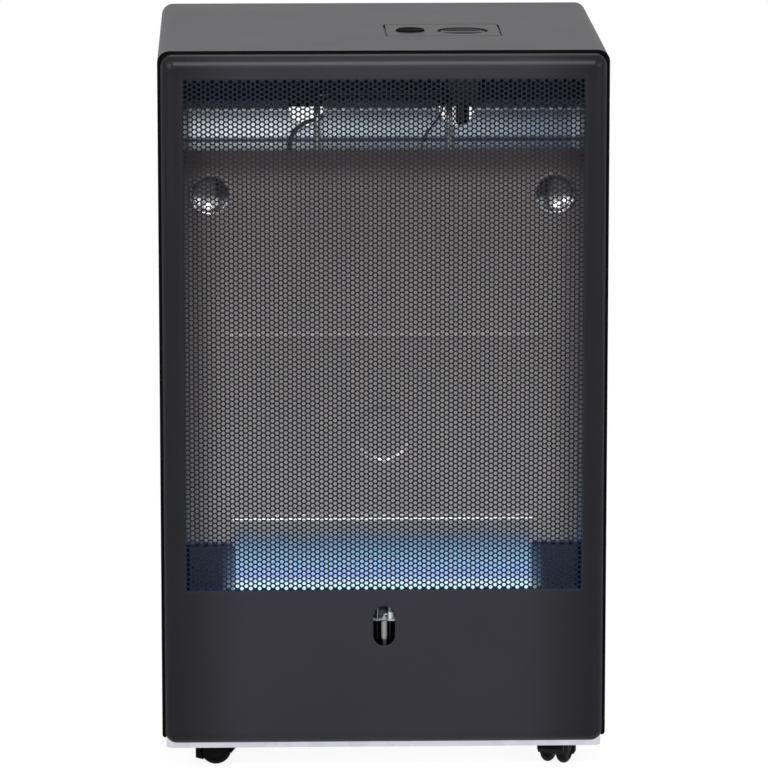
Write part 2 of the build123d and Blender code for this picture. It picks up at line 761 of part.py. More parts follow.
with BuildPart() as igniter_button:
    extrude(pin_on(Plane.XY.offset(button_bottom), button_x, control_y, button_radius, disc_sides),
            amount=button_top - button_bottom)
    chamfer(igniter_button.faces().sort_by(Axis.Z)[-1].edges(), length=button_bevel)
    extrude(pin_on(Plane.XY.offset(button_bottom), button_x, control_y, button_stem), amount=-stem_length)
keep(igniter_button, "igniter_button")

piezo_outer = button_radius + 2 * button_gap + piezo_wall

with BuildPart() as piezo_igniter:
    with BuildSketch(Plane.XY.offset(piezo_floor)):
        with Locations((button_x, control_y)):
            Rectangle(2 * piezo_outer, 2 * piezo_outer)
    extrude(amount=console_base - piezo_floor)
    extrude(bore_on(Plane.XY.offset(piezo_floor + piezo_wall), button_x, control_y, piezo_outer - piezo_wall, 24),
            amount=console_base - piezo_floor, mode=Mode.SUBTRACT)
    extrude(bore_on(Plane.XY.offset(piezo_bottom), button_x, control_y, piezo_barrel, 6),
            amount=piezo_floor - piezo_bottom)
    stem_foot = button_bottom - stem_length - button_travel - travel_margin
    extrude(bore_on(Plane.XY.offset(stem_foot), button_x, control_y, button_stem + pin_play),
            amount=piezo_floor + piezo_wall - stem_foot, mode=Mode.SUBTRACT)
keep(piezo_igniter, "piezo_igniter")


# ---------------------------------------------------------- pipes and leads
def piped(points, bends, radius):
    """Round pipe or lead along straight runs joined by arcs."""
    with BuildPart() as pipe:
        with BuildLine() as route:
            FilletPolyline(*points, radius=bends)
        with BuildSketch(Plane(origin=route.line @ 0, z_dir=route.line % 0)) as end:
            RegularPolygon(radius, pipe_sides)
        sweep()
    run = sum(edge.length for edge in route.edges())
    print(f"run {run:.0f} mm, bends {bends}, volume share {pipe.part.volume / (end.sketch.area * run):.4f}")
    return pipe


valve_front = control_y - valve_depth / 2
valve_left = knob_x - valve_width / 2
duct = shelf_height + duct_rise
lead_floor = bracket_bottom - lead_drop

keep(piped([(burner_riser, valve_front, duct), (burner_riser, pipe_plane, duct),
            (burner_riser, pipe_plane, venturi_height), (elbow_x, pipe_plane, venturi_height),
            (elbow_x, web_plane, venturi_height)],
           [lead_bend, lead_bend, elbow_bend], burner_pipe_radius), "burner_pipe")

keep(piped([(burner_pilot_x, burner_pilot_y, pilot_foot), (burner_pilot_x, burner_pilot_y, lead_floor),
            (pilot_riser, pipe_plane, lead_floor), (pilot_riser, pipe_plane, duct),
            (pilot_riser, pilot_port, duct), (valve_left, pilot_port, duct)],
           [tight_bend, lead_bend, lead_bend, lead_bend], pilot_pipe_radius), "pilot_pipe")

couple_floor = lead_floor + lead_step
keep(piped([(couple_x, couple_y, couple_foot), (couple_x, couple_y, couple_floor),
            (couple_riser, pipe_plane, couple_floor), (couple_riser, pipe_plane, couple_bend_height),
            (couple_back_x, bulkhead_plane - lead_play, shelf_height + inner_sheet),
            (couple_port_x, valve_front, couple_port_height)],
           [tight_bend, lead_bend, lead_bend, tight_bend], couple_lead_radius), "thermocouple_lead")

spark_floor = lead_floor - lead_step
keep(piped([(electrode_x, electrode_y, electrode_foot), (electrode_x, electrode_y, spark_floor),
            (spark_riser, pipe_plane, spark_floor), (spark_riser, pipe_plane, spark_bend_height),
            (spark_over_x, bulkhead_plane - 4 * lead_play, spark_over_height),
            (spark_back_x, spark_back_y, spark_back_height),
            (button_x, control_y, piezo_bottom - spark_drop), (button_x, control_y, piezo_bottom)],
           [tight_bend, lead_bend, lead_bend, lead_bend, lead_bend, tight_bend], spark_lead_radius), "igniter_lead")

# ----------------------------------------------------------------- casters
corners = {"front_left": (-caster_x, caster_front_y, 0), "front_right": (caster_x, caster_front_y, 247),
           "rear_left": (-caster_x, caster_rear_y, 40), "rear_right": (caster_x, caster_rear_y, 160)}
plate_under = base_floor - base_sheet
stud_top = plate_under - caster_plate

with BuildPart() as caster_plates:
    for x, y, turn in corners.values():
        with BuildSketch(Plane.XY.offset(plate_under)):
            with Locations((x, y)):
                Rectangle(caster_plate_size, caster_plate_size)
        extrude(amount=-caster_plate)
        extrude(pin_on(Plane.XY.offset(stud_top), x, y, stud_radius), amount=-stud_length)
keep(caster_plates, "caster_plates")


def side_view(corner):
    """Upright plane through a caster's stud, drawn in its rolling direction and Z."""
    x, y, turn = corners[corner]
    return Plane(origin=(x, y, 0), x_dir=(cos(radians(turn)), sin(radians(turn)), 0),
                 z_dir=(sin(radians(turn)), -cos(radians(turn)), 0))


def caster_hood(corner):
    """Fender over both wheels, the web between them and the boss of the stud."""
    plane = side_view(corner)
    width = web_width + 2 * play + 2 * wheel_width
    inner = wheel_radius + hood_clear
    outer = inner + hood_wall
    x, y, turn = corners[corner]
    with BuildPart() as hood:
        with BuildSketch(plane):
            with Locations((caster_trail, wheel_radius)):
                RegularPolygon(outer, wheel_facets)
            with BuildLine():
                back, front = caster_trail - outer - hood_wall, caster_trail + outer + hood_wall
                Polyline((back, hood_back), (front, hood_front), (front, -wheel_radius), (back, -wheel_radius),
                         close=True)
            make_face(mode=Mode.SUBTRACT)
            with Locations((0, (wheel_radius + hood_top) / 2)):
                Rectangle(2 * hood_boss, hood_top - wheel_radius)
        extrude(amount=width / 2, both=True)
        for side in (-1, 1):
            with BuildSketch(plane.offset(side * width / 2)):
                with Locations((caster_trail, wheel_radius)):
                    RegularPolygon(inner, wheel_facets)
            extrude(amount=-side * (width - web_width) / 2, mode=Mode.SUBTRACT)
        extrude(bore_on(Plane.XY.offset(hood_top), x, y, stud_radius + pin_play),
                amount=-(stud_length + travel_margin), mode=Mode.SUBTRACT)
        extrude(pin_on(plane, caster_trail, wheel_radius, axle_radius + seat_play), amount=width / 2, both=True,
                mode=Mode.SUBTRACT)
    return hood


def caster_axle(corner):
    """Pin through the web that carries both wheels."""
    with BuildPart() as axle:
        extrude(pin_on(side_view(corner), caster_trail, wheel_radius, axle_radius),
                amount=web_width / 2 + axle_reach, both=True)
    return axle


def caster_wheel(corner, side):
    """Disc wheel with a blind bore on its inner face."""
    with BuildPart() as wheel:
        face = side_view(corner).offset(side * (web_width / 2 + play))
        with BuildSketch(face):
            with Locations((caster_trail, wheel_radius)):
                RegularPolygon(wheel_radius, wheel_facets, rotation=180 / wheel_facets)
        extrude(amount=side * wheel_width)
        extrude(bore_on(face, caster_trail, wheel_radius, axle_radius + pin_play), amount=side * (axle_reach + play),
                mode=Mode.SUBTRACT)
    return wheel


for corner in corners:
    keep(caster_hood(corner), f"caster_hood_{corner}")
    keep(caster_axle(corner), f"caster_axle_{corner}")
    keep(caster_wheel(corner, -1), f"wheel_{corner}_a")
    keep(caster_wheel(corner, 1), f"wheel_{corner}_b")
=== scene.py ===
import bmesh
import bpy
import json
import numpy as np
from math import atan2, cos, pi, radians, sin
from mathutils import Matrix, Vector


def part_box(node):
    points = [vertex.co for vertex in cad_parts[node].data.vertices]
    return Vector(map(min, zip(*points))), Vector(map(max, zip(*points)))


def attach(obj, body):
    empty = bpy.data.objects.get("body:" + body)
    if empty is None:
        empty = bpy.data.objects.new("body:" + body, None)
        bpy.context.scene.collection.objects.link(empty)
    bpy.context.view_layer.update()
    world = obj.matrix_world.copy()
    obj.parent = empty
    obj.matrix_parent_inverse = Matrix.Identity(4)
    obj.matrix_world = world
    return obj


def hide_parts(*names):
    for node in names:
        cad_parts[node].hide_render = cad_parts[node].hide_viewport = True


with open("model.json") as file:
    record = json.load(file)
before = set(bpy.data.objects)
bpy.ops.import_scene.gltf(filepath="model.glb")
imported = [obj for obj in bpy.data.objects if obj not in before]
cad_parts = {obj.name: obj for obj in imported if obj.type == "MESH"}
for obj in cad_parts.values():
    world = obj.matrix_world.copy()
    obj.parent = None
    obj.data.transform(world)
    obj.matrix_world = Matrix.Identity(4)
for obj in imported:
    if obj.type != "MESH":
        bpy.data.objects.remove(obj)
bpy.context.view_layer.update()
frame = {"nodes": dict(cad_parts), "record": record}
nodes = frame["nodes"]
scene = bpy.context.scene

cameraSettings = {"place": (-0.146, -5.487, 1.438), "pitchDown": 11.07, "turnRight": 1.58, "lens": 252.2,
    "sensor": 36, "clipEnd": 50}
stageSettings = {"floorColour": (0.86, 0.86, 0.87), "floorReach": 6.0, "shadowShare": 0.2, "whiteShare": 0.89,
    "shadowReach": 1.1, "shadowCore": 0.45, "worldDiffuse": 0.55}
lampSettings = {
    "frontHigh": {"place": (0.05, -2.8, 2.5), "aim": (0, 0, 0.45), "size": 1.0, "watts": 46},
    "frontLeft": {"place": (-2.6, -3.4, 1.9), "aim": (0, 0, 0.4), "size": 1.8, "watts": 60},
    "frontRight": {"place": (2.9, -3.0, 1.4), "aim": (0, 0, 0.35), "size": 1.6, "watts": 34},
}


def addObject(name, data):
    # a new object in the scene
    added = bpy.data.objects.new(name, data)
    scene.collection.objects.link(added)
    return added


def addCamera(place, pitchDown, turnRight, lens, sensor, clipEnd):
    # stands at the fitted place and looks down by the pitch, turned right by the yaw, in degrees
    data = bpy.data.cameras.new("camera")
    data.lens, data.sensor_width, data.clip_end = lens, sensor, clipEnd
    camera = addObject("camera", data)
    camera.location = place
    camera.rotation_euler = (radians(90 - pitchDown), 0, -radians(turnRight))
    scene.camera = camera


def setInputs(tree, node, inputs):
    # an input gets a plain value, a colour (a grey is one number), or a link from an output or a node's first output
    for key, value in inputs.items():
        socket = node.inputs[key]
        if isinstance(value, bpy.types.Node):
            value = value.outputs[0]
        if isinstance(value, bpy.types.NodeSocket):
            tree.links.new(value, socket)
        elif socket.type == "RGBA":
            socket.default_value = (*(value if isinstance(value, tuple) else (value,) * 3), 1)
        else:
            socket.default_value = value


def addNode(tree, kind, inputs=None, **options):
    # one shader node with its options and inputs
    node = tree.nodes.new("ShaderNode" + kind)
    for key, value in options.items():
        setattr(node, key, value)
    setInputs(tree, node, inputs or {})
    return node


def mathNode(tree, operation, *values):
    # one math operation on plain values and outputs
    return addNode(tree, "Math", dict(enumerate(values)), operation=operation)


def rangeNode(tree, value, start, end, first=0, last=1, slope="LINEAR"):
    # first up to start, last from end on, and an even or smooth slope between them
    return addNode(tree, "MapRange", {"Value": value, "From Min": start, "From Max": end, "To Min": first,
        "To Max": last}, interpolation_type=slope)


def ownPlace(tree):
    # places in the piece's own coordinates
    return addNode(tree, "TexCoord").outputs["Object"]


def noise(tree, place, scale, detail):
    # soft clouds of that scale
    return addNode(tree, "TexNoise", {"Vector": place, "Scale": scale, "Detail": detail})


def principled(name):
    # a new material with its tree and a Principled shader joined to the output
    material = bpy.data.materials.new(name)
    material.use_nodes = True
    tree = material.node_tree
    tree.nodes.clear()
    shader = addNode(tree, "BsdfPrincipled")
    addNode(tree, "OutputMaterial", {"Surface": shader})
    return material, tree, shader


def seenDirectly(tree):
    # 1 for a ray from the camera, a mirrored one or one through glass, 0 for soft light
    path = addNode(tree, "LightPath").outputs
    either = mathNode(tree, "MAXIMUM", path["Is Camera Ray"], path["Is Glossy Ray"])
    return mathNode(tree, "MAXIMUM", either, path["Is Transmission Ray"])


def addStage(floorColour, floorReach, shadowShare, whiteShare, shadowReach, shadowCore, worldDiffuse):
    # a wide pale floor; to the camera its share of lit colour plus a fixed share of white comes to white,
    # so only the heater's own shadow shows, and that fades out with the distance from the heater
    mesh = bpy.data.meshes.new("floor")
    mesh.from_pydata([(-floorReach, -floorReach, 0), (floorReach, -floorReach, 0), (floorReach, floorReach, 0),
        (-floorReach, floorReach, 0)], [], [(0, 1, 2, 3)])
    floor = addObject("floor", mesh)
    material, tree, shader = principled("paleFloor")
    setInputs(tree, shader, {"Base Color": floorColour, "Roughness": 0.9, "Specular IOR Level": 0.1})
    shade = addNode(tree, "BsdfDiffuse", {"Color": shadowShare})
    glow = addNode(tree, "Emission", {"Strength": whiteShare})
    both = addNode(tree, "AddShader", {0: shade, 1: glow})
    far = addNode(tree, "VectorMath", {0: ownPlace(tree)}, operation="LENGTH").outputs["Value"]
    fade = rangeNode(tree, far, shadowReach * shadowCore, shadowReach, slope="SMOOTHSTEP")
    shown = addNode(tree, "MixShader", {0: fade, 1: both, 2: addNode(tree, "Emission")})
    pick = addNode(tree, "MixShader", {0: seenDirectly(tree), 1: shader, 2: shown})
    setInputs(tree, tree.nodes["Material Output"], {"Surface": pick})
    mesh.materials.append(material)
    world = bpy.data.worlds.new("paleRoom")
    scene.world = world
    world.use_nodes = True
    tree = world.node_tree
    tree.nodes.clear()
    strength = rangeNode(tree, seenDirectly(tree), 0, 1, worldDiffuse, 1)
    addNode(tree, "OutputWorld", {"Surface": addNode(tree, "Background", {"Color": 1, "Strength": strength})})


def addLamps(settings):
    # square soft lamps, each turned so that its -Z points from its place to its aim
    for name, lamp in settings.items():
        data = bpy.data.lights.new(name, "AREA")
        data.size, data.energy = lamp["size"], lamp["watts"]
        light = addObject(name, data)
        light.location = lamp["place"]
        x, y, z = (a - b for a, b in zip(lamp["aim"], lamp["place"]))
        light.rotation_euler = (atan2((x * x + y * y) ** 0.5, -z), 0, atan2(-x, y))


addCamera(**cameraSettings)
addStage(**stageSettings)
addLamps(lampSettings)
scene.view_settings.view_transform = "Standard"
print("camera, floor and lamps")


def addGroup(name, inputs, outputs):
    # an empty shader node group with named number inputs and outputs, and its two ends
    group = bpy.data.node_groups.new(name, "ShaderNodeTree")
    for label, value in inputs.items():
        group.interface.new_socket(label, in_out="INPUT", socket_type="NodeSocketFloat").default_value = value
    for label in outputs:
        group.interface.new_socket(label, in_out="OUTPUT", socket_type="NodeSocketFloat")
    return group, group.nodes.new("NodeGroupInput").outputs, group.nodes.new("NodeGroupOutput")


def grainGroup():
    # a broad cloud and a fine grain: two noises of the piece's own coordinates, the fine one drawn out along X
    group, given, put = addGroup("surfaceGrain", {"Scale": 800, "Stretch": 1}, ("Cloud", "Grain"))
    place = ownPlace(group)
    factors = addNode(group, "CombineXYZ", {"X": given["Stretch"], "Y": 1, "Z": 1})
    drawn = addNode(group, "VectorMath", {0: place, 1: factors}, operation="MULTIPLY")
    setInputs(group, put, {"Cloud": noise(group, place, 9, 5), "Grain": noise(group, drawn, given["Scale"], 2)})
    return group


def edgeGroup():
    # worn edges: how far the rounded normal turns from the real one, broken up by noise
    group, given, put = addGroup("wornEdge", {"Width": 0.0012, "Amount": 1}, ("Mask",))
    rounded = addNode(group, "Bevel", {"Radius": given["Width"]}, samples=4)
    true = addNode(group, "NewGeometry").outputs["Normal"]
    dot = addNode(group, "VectorMath", {0: rounded, 1: true}, operation="DOT_PRODUCT").outputs["Value"]
    broken = mathNode(group, "MULTIPLY", rangeNode(group, dot, 0.995, 0.86), noise(group, ownPlace(group), 60, 4))
    setInputs(group, put, {"Mask": mathNode(group, "MULTIPLY", broken, given["Amount"])})
    return group


def dustGroup():
    # settled dust: the upward share of the normal, sharpened and broken up by noise
    group, given, put = addGroup("settledDust", {"Amount": 0.2}, ("Mask",))
    parts = addNode(group, "SeparateXYZ", {0: addNode(group, "NewGeometry").outputs["Normal"]})
    upward = rangeNode(group, parts.outputs["Z"], 0.3, 1)
    broken = mathNode(group, "MULTIPLY", upward, noise(group, ownPlace(group), 35, 8))
    setInputs(group, put, {"Mask": mathNode(group, "MULTIPLY", broken, given["Amount"])})
    return group


surfaceGrain, wornEdge, settledDust = grainGroup(), edgeGroup(), dustGroup()


def mixColour(tree, mask, first, second, blend="MIX"):
    # first where the mask is 0, second, or second blended into first, where it is 1
    return addNode(tree, "Mix", {0: mask, 6: first, 7: second}, data_type="RGBA", blend_type=blend).outputs[2]


def alongAxis(tree, axis, start, end, first, last):
    # a value that goes smoothly from first to last between two places on one of the piece's own axes
    parts = addNode(tree, "SeparateXYZ", {0: ownPlace(tree)})
    return rangeNode(tree, parts.outputs[axis], start, end, first, last, "SMOOTHSTEP")


plainLook = {"grainScale": 500, "stretch": 1, "relief": 0.15, "reliefDepth": 0.0001, "metallic": 0, "specular": 0.5,
    "wearWidth": 0.0012, "dustColour": (0.32, 0.31, 0.3)}


def makeFinish(name, look):
    # a paint, plastic or metal: clouded colour, tints along an axis (most of them painted shade, painted highlights
    # and painted flame glow), paler worn edges, dust, and grain in roughness and relief; roughness is a middle and a
    # spread
    look = {**plainLook, **look}
    material, tree, shader = principled(name)
    grain = addNode(tree, "Group", {"Scale": look["grainScale"], "Stretch": look["stretch"]}, node_tree=surfaceGrain)
    cloud = grain.outputs["Cloud"]
    colour = mixColour(tree, cloud, look["dark"], look["light"])
    if "spangle" in look:
        cells = addNode(tree, "TexVoronoi", {"Vector": ownPlace(tree), "Scale": look["spangle"]})
        tone = addNode(tree, "SeparateColor", {0: cells.outputs["Color"]})
        colour = mixColour(tree, rangeNode(tree, tone, 0, 1, 0, 0.5), colour, look["spangleColour"])
    for axis, start, end, tint in look.get("tints", ()):
        colour = mixColour(tree, alongAxis(tree, axis, start, end, 0, 1), colour, tint, "MULTIPLY")
    if "wear" in look:
        edge = addNode(tree, "Group", {"Amount": look["wear"], "Width": look["wearWidth"]}, node_tree=wornEdge)
        colour = mixColour(tree, edge, colour, look["edge"])
    if "dust" in look:
        dust = addNode(tree, "Group", {"Amount": look["dust"]}, node_tree=settledDust)
        colour = mixColour(tree, dust, colour, look["dustColour"])
    middle, spread = look["roughness"]
    rough = rangeNode(tree, cloud, 0, 1, middle - spread, middle + spread)
    if "polish" in look:
        axis, start, end, share = look["polish"]
        rough = mathNode(tree, "MULTIPLY", rough, alongAxis(tree, axis, start, end, 1, share))
    relief = addNode(tree, "Bump", {"Strength": look["relief"], "Distance": look["reliefDepth"],
        "Height": grain.outputs["Grain"]})
    setInputs(tree, shader, {"Base Color": colour, "Roughness": rough, "Normal": relief, "Metallic": look["metallic"],
        "Specular IOR Level": look["specular"]})
    if "shine" in look:
        axis, start, end, glossy = look["shine"]
        glossy = alongAxis(tree, axis, start, end, look["specular"], glossy)
        setInputs(tree, shader, {"Specular IOR Level": glossy})
    return material


panelLow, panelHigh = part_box("front_panel")
# tints are axis, start, end and the colour multiplied in at the end; places in metres; most tints paint shade,
# highlights or the flames' glow onto a surface, as said at each look
looks = {
    "powderCoat": {"dark": (0.0125, 0.012, 0.0165), "light": (0.0175, 0.0165, 0.0225), "edge": (0.05, 0.05, 0.055),
        "wear": 0.3, "dust": 0.03, "grainScale": 1100, "roughness": (0.5, 0.04), "relief": 0.3, "specular": 0.3},
    # panelCoat's tints along X darken the front panel towards its left and right edges: painted shade
    "panelCoat": {"dark": (0.0193, 0.0188, 0.0247), "light": (0.0245, 0.0235, 0.0308), "edge": (0.05, 0.05, 0.055),
        "wear": 0.3, "dust": 0.02, "grainScale": 1100, "roughness": (0.46, 0.04), "relief": 0.3, "specular": 0.14,
        "polish": ("Z", 0.706, 0.716, 0.62), "shine": ("Z", panelHigh[2] - 0.0022, panelHigh[2] - 0.0008, 0.6),
        "tints": (("X", -0.13, -0.218, 0.33), ("X", 0.13, 0.218, 0.33))},
    # the grille's paint is a darker copy of the panel's paint, a painted shade; its tints paint shade towards the
    # left and right edges and a darker blue towards the top, and a painted blue glow of the flames low down
    "grillePaintedShadeAndGlow": {"dark": (0.014, 0.0136, 0.0175), "light": (0.0172, 0.0165, 0.0212), "grainScale": 1100,
        "roughness": (0.5, 0.04), "relief": 0.3, "specular": 0.1, "tints": (("X", -0.13, -0.218, 0.6),
        ("X", 0.13, 0.218, 0.6), ("Z", 0.635, 0.66, (0.72, 0.88, 1.05)), ("Z", 0.262, 0.235, (0.38, 1.05, 2.1)))},
    # pale bluish paint for the inside faces, far lighter than the black coat: painted light inside the cabinet
    "insidePaintedLight": {"dark": (0.12, 0.145, 0.2), "light": (0.16, 0.19, 0.26), "grainScale": 900,
        "roughness": (0.6, 0.05), "relief": 0.2, "specular": 0.3},
    # near black for the casing's return behind the panel's edge: a painted shadow in the gap
    "gapPaintedShadow": {"dark": 0.002, "light": 0.004, "grainScale": 900, "roughness": (0.8, 0.05), "relief": 0.2,
        "specular": 0.03},
    "burnerCoat": {"dark": (0.035, 0.034, 0.036), "light": (0.07, 0.065, 0.062), "edge": (0.16, 0.15, 0.15),
        "wear": 0.5, "grainScale": 700, "roughness": (0.6, 0.1), "relief": 0.4},
    "blackPlastic": {"dark": (0.012, 0.012, 0.014), "light": (0.018, 0.018, 0.02), "edge": (0.05, 0.05, 0.052),
        "wear": 0.4, "dust": 0.03, "grainScale": 1500, "roughness": (0.5, 0.04), "relief": 0.25,
        "reliefDepth": 0.00008, "specular": 0.3},
    "dullBlack": {"dark": (0.006, 0.006, 0.007), "light": (0.01, 0.01, 0.011), "edge": 0.03, "wear": 0.2,
        "grainScale": 1500, "roughness": (0.75, 0.05), "relief": 0.3, "specular": 0.01},
    "casterNylon": {"dark": (0.0025, 0.0022, 0.003), "light": (0.0045, 0.004, 0.0052), "edge": (0.015, 0.015, 0.016),
        "wear": 0.3, "dust": 0.01, "grainScale": 900, "roughness": (0.5, 0.06), "relief": 0.25, "specular": 0.05},
    "glazedCeramic": {"dark": (0.2, 0.205, 0.2), "light": (0.25, 0.255, 0.25), "grainScale": 300,
        "roughness": (0.25, 0.05), "relief": 0.1},
    "leadSleeve": {"dark": (0.02, 0.02, 0.024), "light": (0.035, 0.035, 0.04), "grainScale": 700,
        "roughness": (0.55, 0.08), "relief": 0.2},
}
metalLooks = {
    "zincSheet": {"dark": (0.5, 0.5, 0.56), "light": (0.61, 0.61, 0.67), "spangle": 70,
        "spangleColour": (0.67, 0.67, 0.73), "roughness": (0.34, 0.08)},
    # the heat shield's metal grows darker towards the top; its tints also paint shade under the bulkhead's shelf and
    # towards the left and right edges, and paint bluish light at the outer edges
    "reflectorPaintedShadeAndLight": {"dark": (0.56, 0.54, 0.545), "light": (0.68, 0.655, 0.66), "grainScale": 420, "stretch": 0.15,
        "roughness": (0.36, 0.06), "tints": (("Z", 0.26, 0.44, (0.78, 0.77, 0.76)),
        ("Z", 0.44, 0.6, (0.72, 0.7, 0.69)), ("Z", 0.59, 0.622, (0.32, 0.3, 0.29)),
        ("X", -0.155, -0.205, (0.36, 0.34, 0.33)), ("X", 0.165, 0.21, (0.5, 0.47, 0.46)),
        ("X", -0.1895, -0.1935, (1.3, 1.42, 1.56)), ("X", 0.1905, 0.1945, (1.25, 1.36, 1.5)))},
    # a brighter, glossier copy of the shield's metal for the cups and the ring's lower wall: a painted highlight,
    # darkened above z 0.587 as painted shade
    "cupPaintedHighlight": {"dark": (0.76, 0.74, 0.75), "light": (0.88, 0.86, 0.87), "grainScale": 420,
        "roughness": (0.22, 0.04), "tints": (("Z", 0.576, 0.587, 0.22),)},
    # cheekSheet turns blue towards the bottom, from z 0.32 down to 0.24: a painted glow of the flames
    "cheekSheet": {"dark": (0.22, 0.24, 0.28), "light": (0.34, 0.37, 0.42), "roughness": (0.3, 0.06),
        "tints": (("Z", 0.32, 0.24, (0.6, 1.2, 1.7)),)},
    # dark steel for the pilot burner and thermocouple, black below z 0.157
    "darkPilotSteel": {"dark": (0.1, 0.115, 0.13), "light": (0.2, 0.225, 0.25), "grainScale": 600,
        "roughness": (0.32, 0.08), "tints": (("Z", 0.159, 0.157, 0.1),)},
    "pilotSheet": {"dark": (0.8, 0.8, 0.83), "light": (0.88, 0.88, 0.91), "roughness": (0.46, 0.06)},
    # the pilot bracket's tab: darker and bluish below x 0.003 and above z 0.1665
    "darkPilotTab": {"dark": (0.34, 0.36, 0.38), "light": (0.42, 0.44, 0.46), "roughness": (0.36, 0.06),
        "tints": (("X", 0.005, 0.003, (0.16, 0.2, 0.23)), ("Z", 0.1645, 0.1665, (0.16, 0.22, 0.25)))},
    # the bulkhead's pale bluish metal carries painted light: darker towards the right and painted shade at the left
    # edge, a painted highlight at the right edge and along the shelf's fold at the top, painted shade over the upper
    # lean and in the crease's dark line, and painted shade below z 0.624 behind the heat shield
    "galvanisedBandPaintedLight": {"dark": (0.84, 0.91, 1.0), "light": (0.9, 0.96, 1.0), "spangle": 70,
        "spangleColour": (0.93, 0.98, 1.0), "roughness": (0.48, 0.05),
        "tints": (("X", -0.13, 0.0, (0.52, 0.55, 0.59)), ("X", 0.03, 0.2, (0.58, 0.6, 0.64)),
        ("X", -0.189, -0.196, (0.3, 0.31, 0.33)), ("X", 0.189, 0.194, (2.0, 1.95, 1.85)),
        ("Z", 0.652, 0.667, (0.45, 0.45, 0.46)), ("Z", 0.668, 0.669, 5.0), ("Z", 0.6445, 0.6405, (0.14, 0.15, 0.18)),
        ("Z", 0.6385, 0.6368, (6.4, 6.0, 5.2)), ("Z", 0.634, 0.624, (0.3, 0.3, 0.31)))},
    # the flame guard's zinc is lighter above z 0.2525, along its fold: a painted highlight
    "ledgePaintedHighlight": {"dark": (0.5, 0.51, 0.55), "light": (0.58, 0.59, 0.63), "roughness": (0.3, 0.06),
        "tints": (("Z", 0.2505, 0.2525, (1.55, 1.55, 1.5)),)},
    "valveAlloy": {"dark": (0.05, 0.05, 0.055), "light": (0.09, 0.09, 0.095), "grainScale": 600,
        "roughness": (0.5, 0.08), "relief": 0.5, "reliefDepth": 0.0002},
    "turnedBrass": {"dark": (0.2, 0.14, 0.06), "light": (0.34, 0.25, 0.12), "grainScale": 600, "stretch": 0.1,
        "roughness": (0.34, 0.08), "relief": 0.2},
    # drawnTube's tints darken the pipes behind the bulkhead and below z 0.18: painted shade
    "drawnTube": {"dark": (0.36, 0.37, 0.39), "light": (0.5, 0.51, 0.53), "stretch": 4, "roughness": (0.36, 0.07),
        "tints": (("Y", -0.128, -0.118, (0.12, 0.12, 0.14)), ("Z", 0.2, 0.18, 0.04))},
    "copperTube": {"dark": (0.03, 0.02, 0.017), "light": (0.06, 0.038, 0.03), "roughness": (0.45, 0.1)},
    "platedSteel": {"dark": (0.52, 0.52, 0.54), "light": (0.68, 0.68, 0.7), "grainScale": 600,
        "roughness": (0.3, 0.08)},
}
slotLook = {"powder_black": "powderCoat", "zinc_sheet": "zincSheet", "shield_sheet": "reflectorPaintedShadeAndLight",
    "burner_steel": "burnerCoat", "black_plastic": "blackPlastic", "caster_plastic": "casterNylon",
    "valve_alloy": "valveAlloy", "brass_parts": "turnedBrass", "pipe_alloy": "drawnTube",
    "copper_capillary": "copperTube", "bright_steel": "platedSteel", "electrode_ceramic": "glazedCeramic",
    "lead_sleeve": "leadSleeve"}
looks.update((name, {**look, "metallic": 1}) for name, look in metalLooks.items())
finishes = {name: makeFinish(name, look) for name, look in looks.items()}
slotOf = {part["node"]: part["material_slot"] for part in frame["record"]["subparts"]}
bodyOf = {member: name for name, members in frame["record"]["behaviour"]["bodies"].items() for member in members}


def repaint(piece, finish):
    # one finish in place of all that the piece had
    piece.data.materials.clear()
    piece.data.materials.append(finishes[finish])


for nodeName, nodeObject in nodes.items():
    repaint(nodeObject, slotLook[slotOf[nodeName]])
print("finishes:", len(finishes))


def faceData(piece):
    # every face's normal and middle as rows of x, y, z
    count = len(piece.data.polygons)
    normals, middles = np.empty(count * 3, np.float32), np.empty(count * 3, np.float32)
    piece.data.polygons.foreach_get("normal", normals)
    piece.data.polygons.foreach_get("center", middles)
    return normals.reshape(-1, 3), middles.reshape(-1, 3)


def finishFaces(piece, finish, chosen):
    # the chosen faces get a further finish
    index = np.empty(len(piece.data.polygons), np.int32)
    piece.data.polygons.foreach_get("material_index", index)
    piece.data.materials.append(finishes[finish])
    index[chosen] = len(piece.data.materials) - 1
    piece.data.polygons.foreach_set("material_index", index)


def cleanMesh(mesh, sharpAngle, change):
    # doubled points joined, the change made, then smooth up to the fold angle
    work = bmesh.new()
    work.from_mesh(mesh)
    bmesh.ops.remove_doubles(work, verts=work.verts, dist=2e-6)
    change(work)
    work.to_mesh(mesh)
    work.free()
    mesh.polygons.foreach_set("use_smooth", np.ones(len(mesh.polygons), dtype=bool))
    mesh.set_sharp_from_angle(angle=radians(sharpAngle))


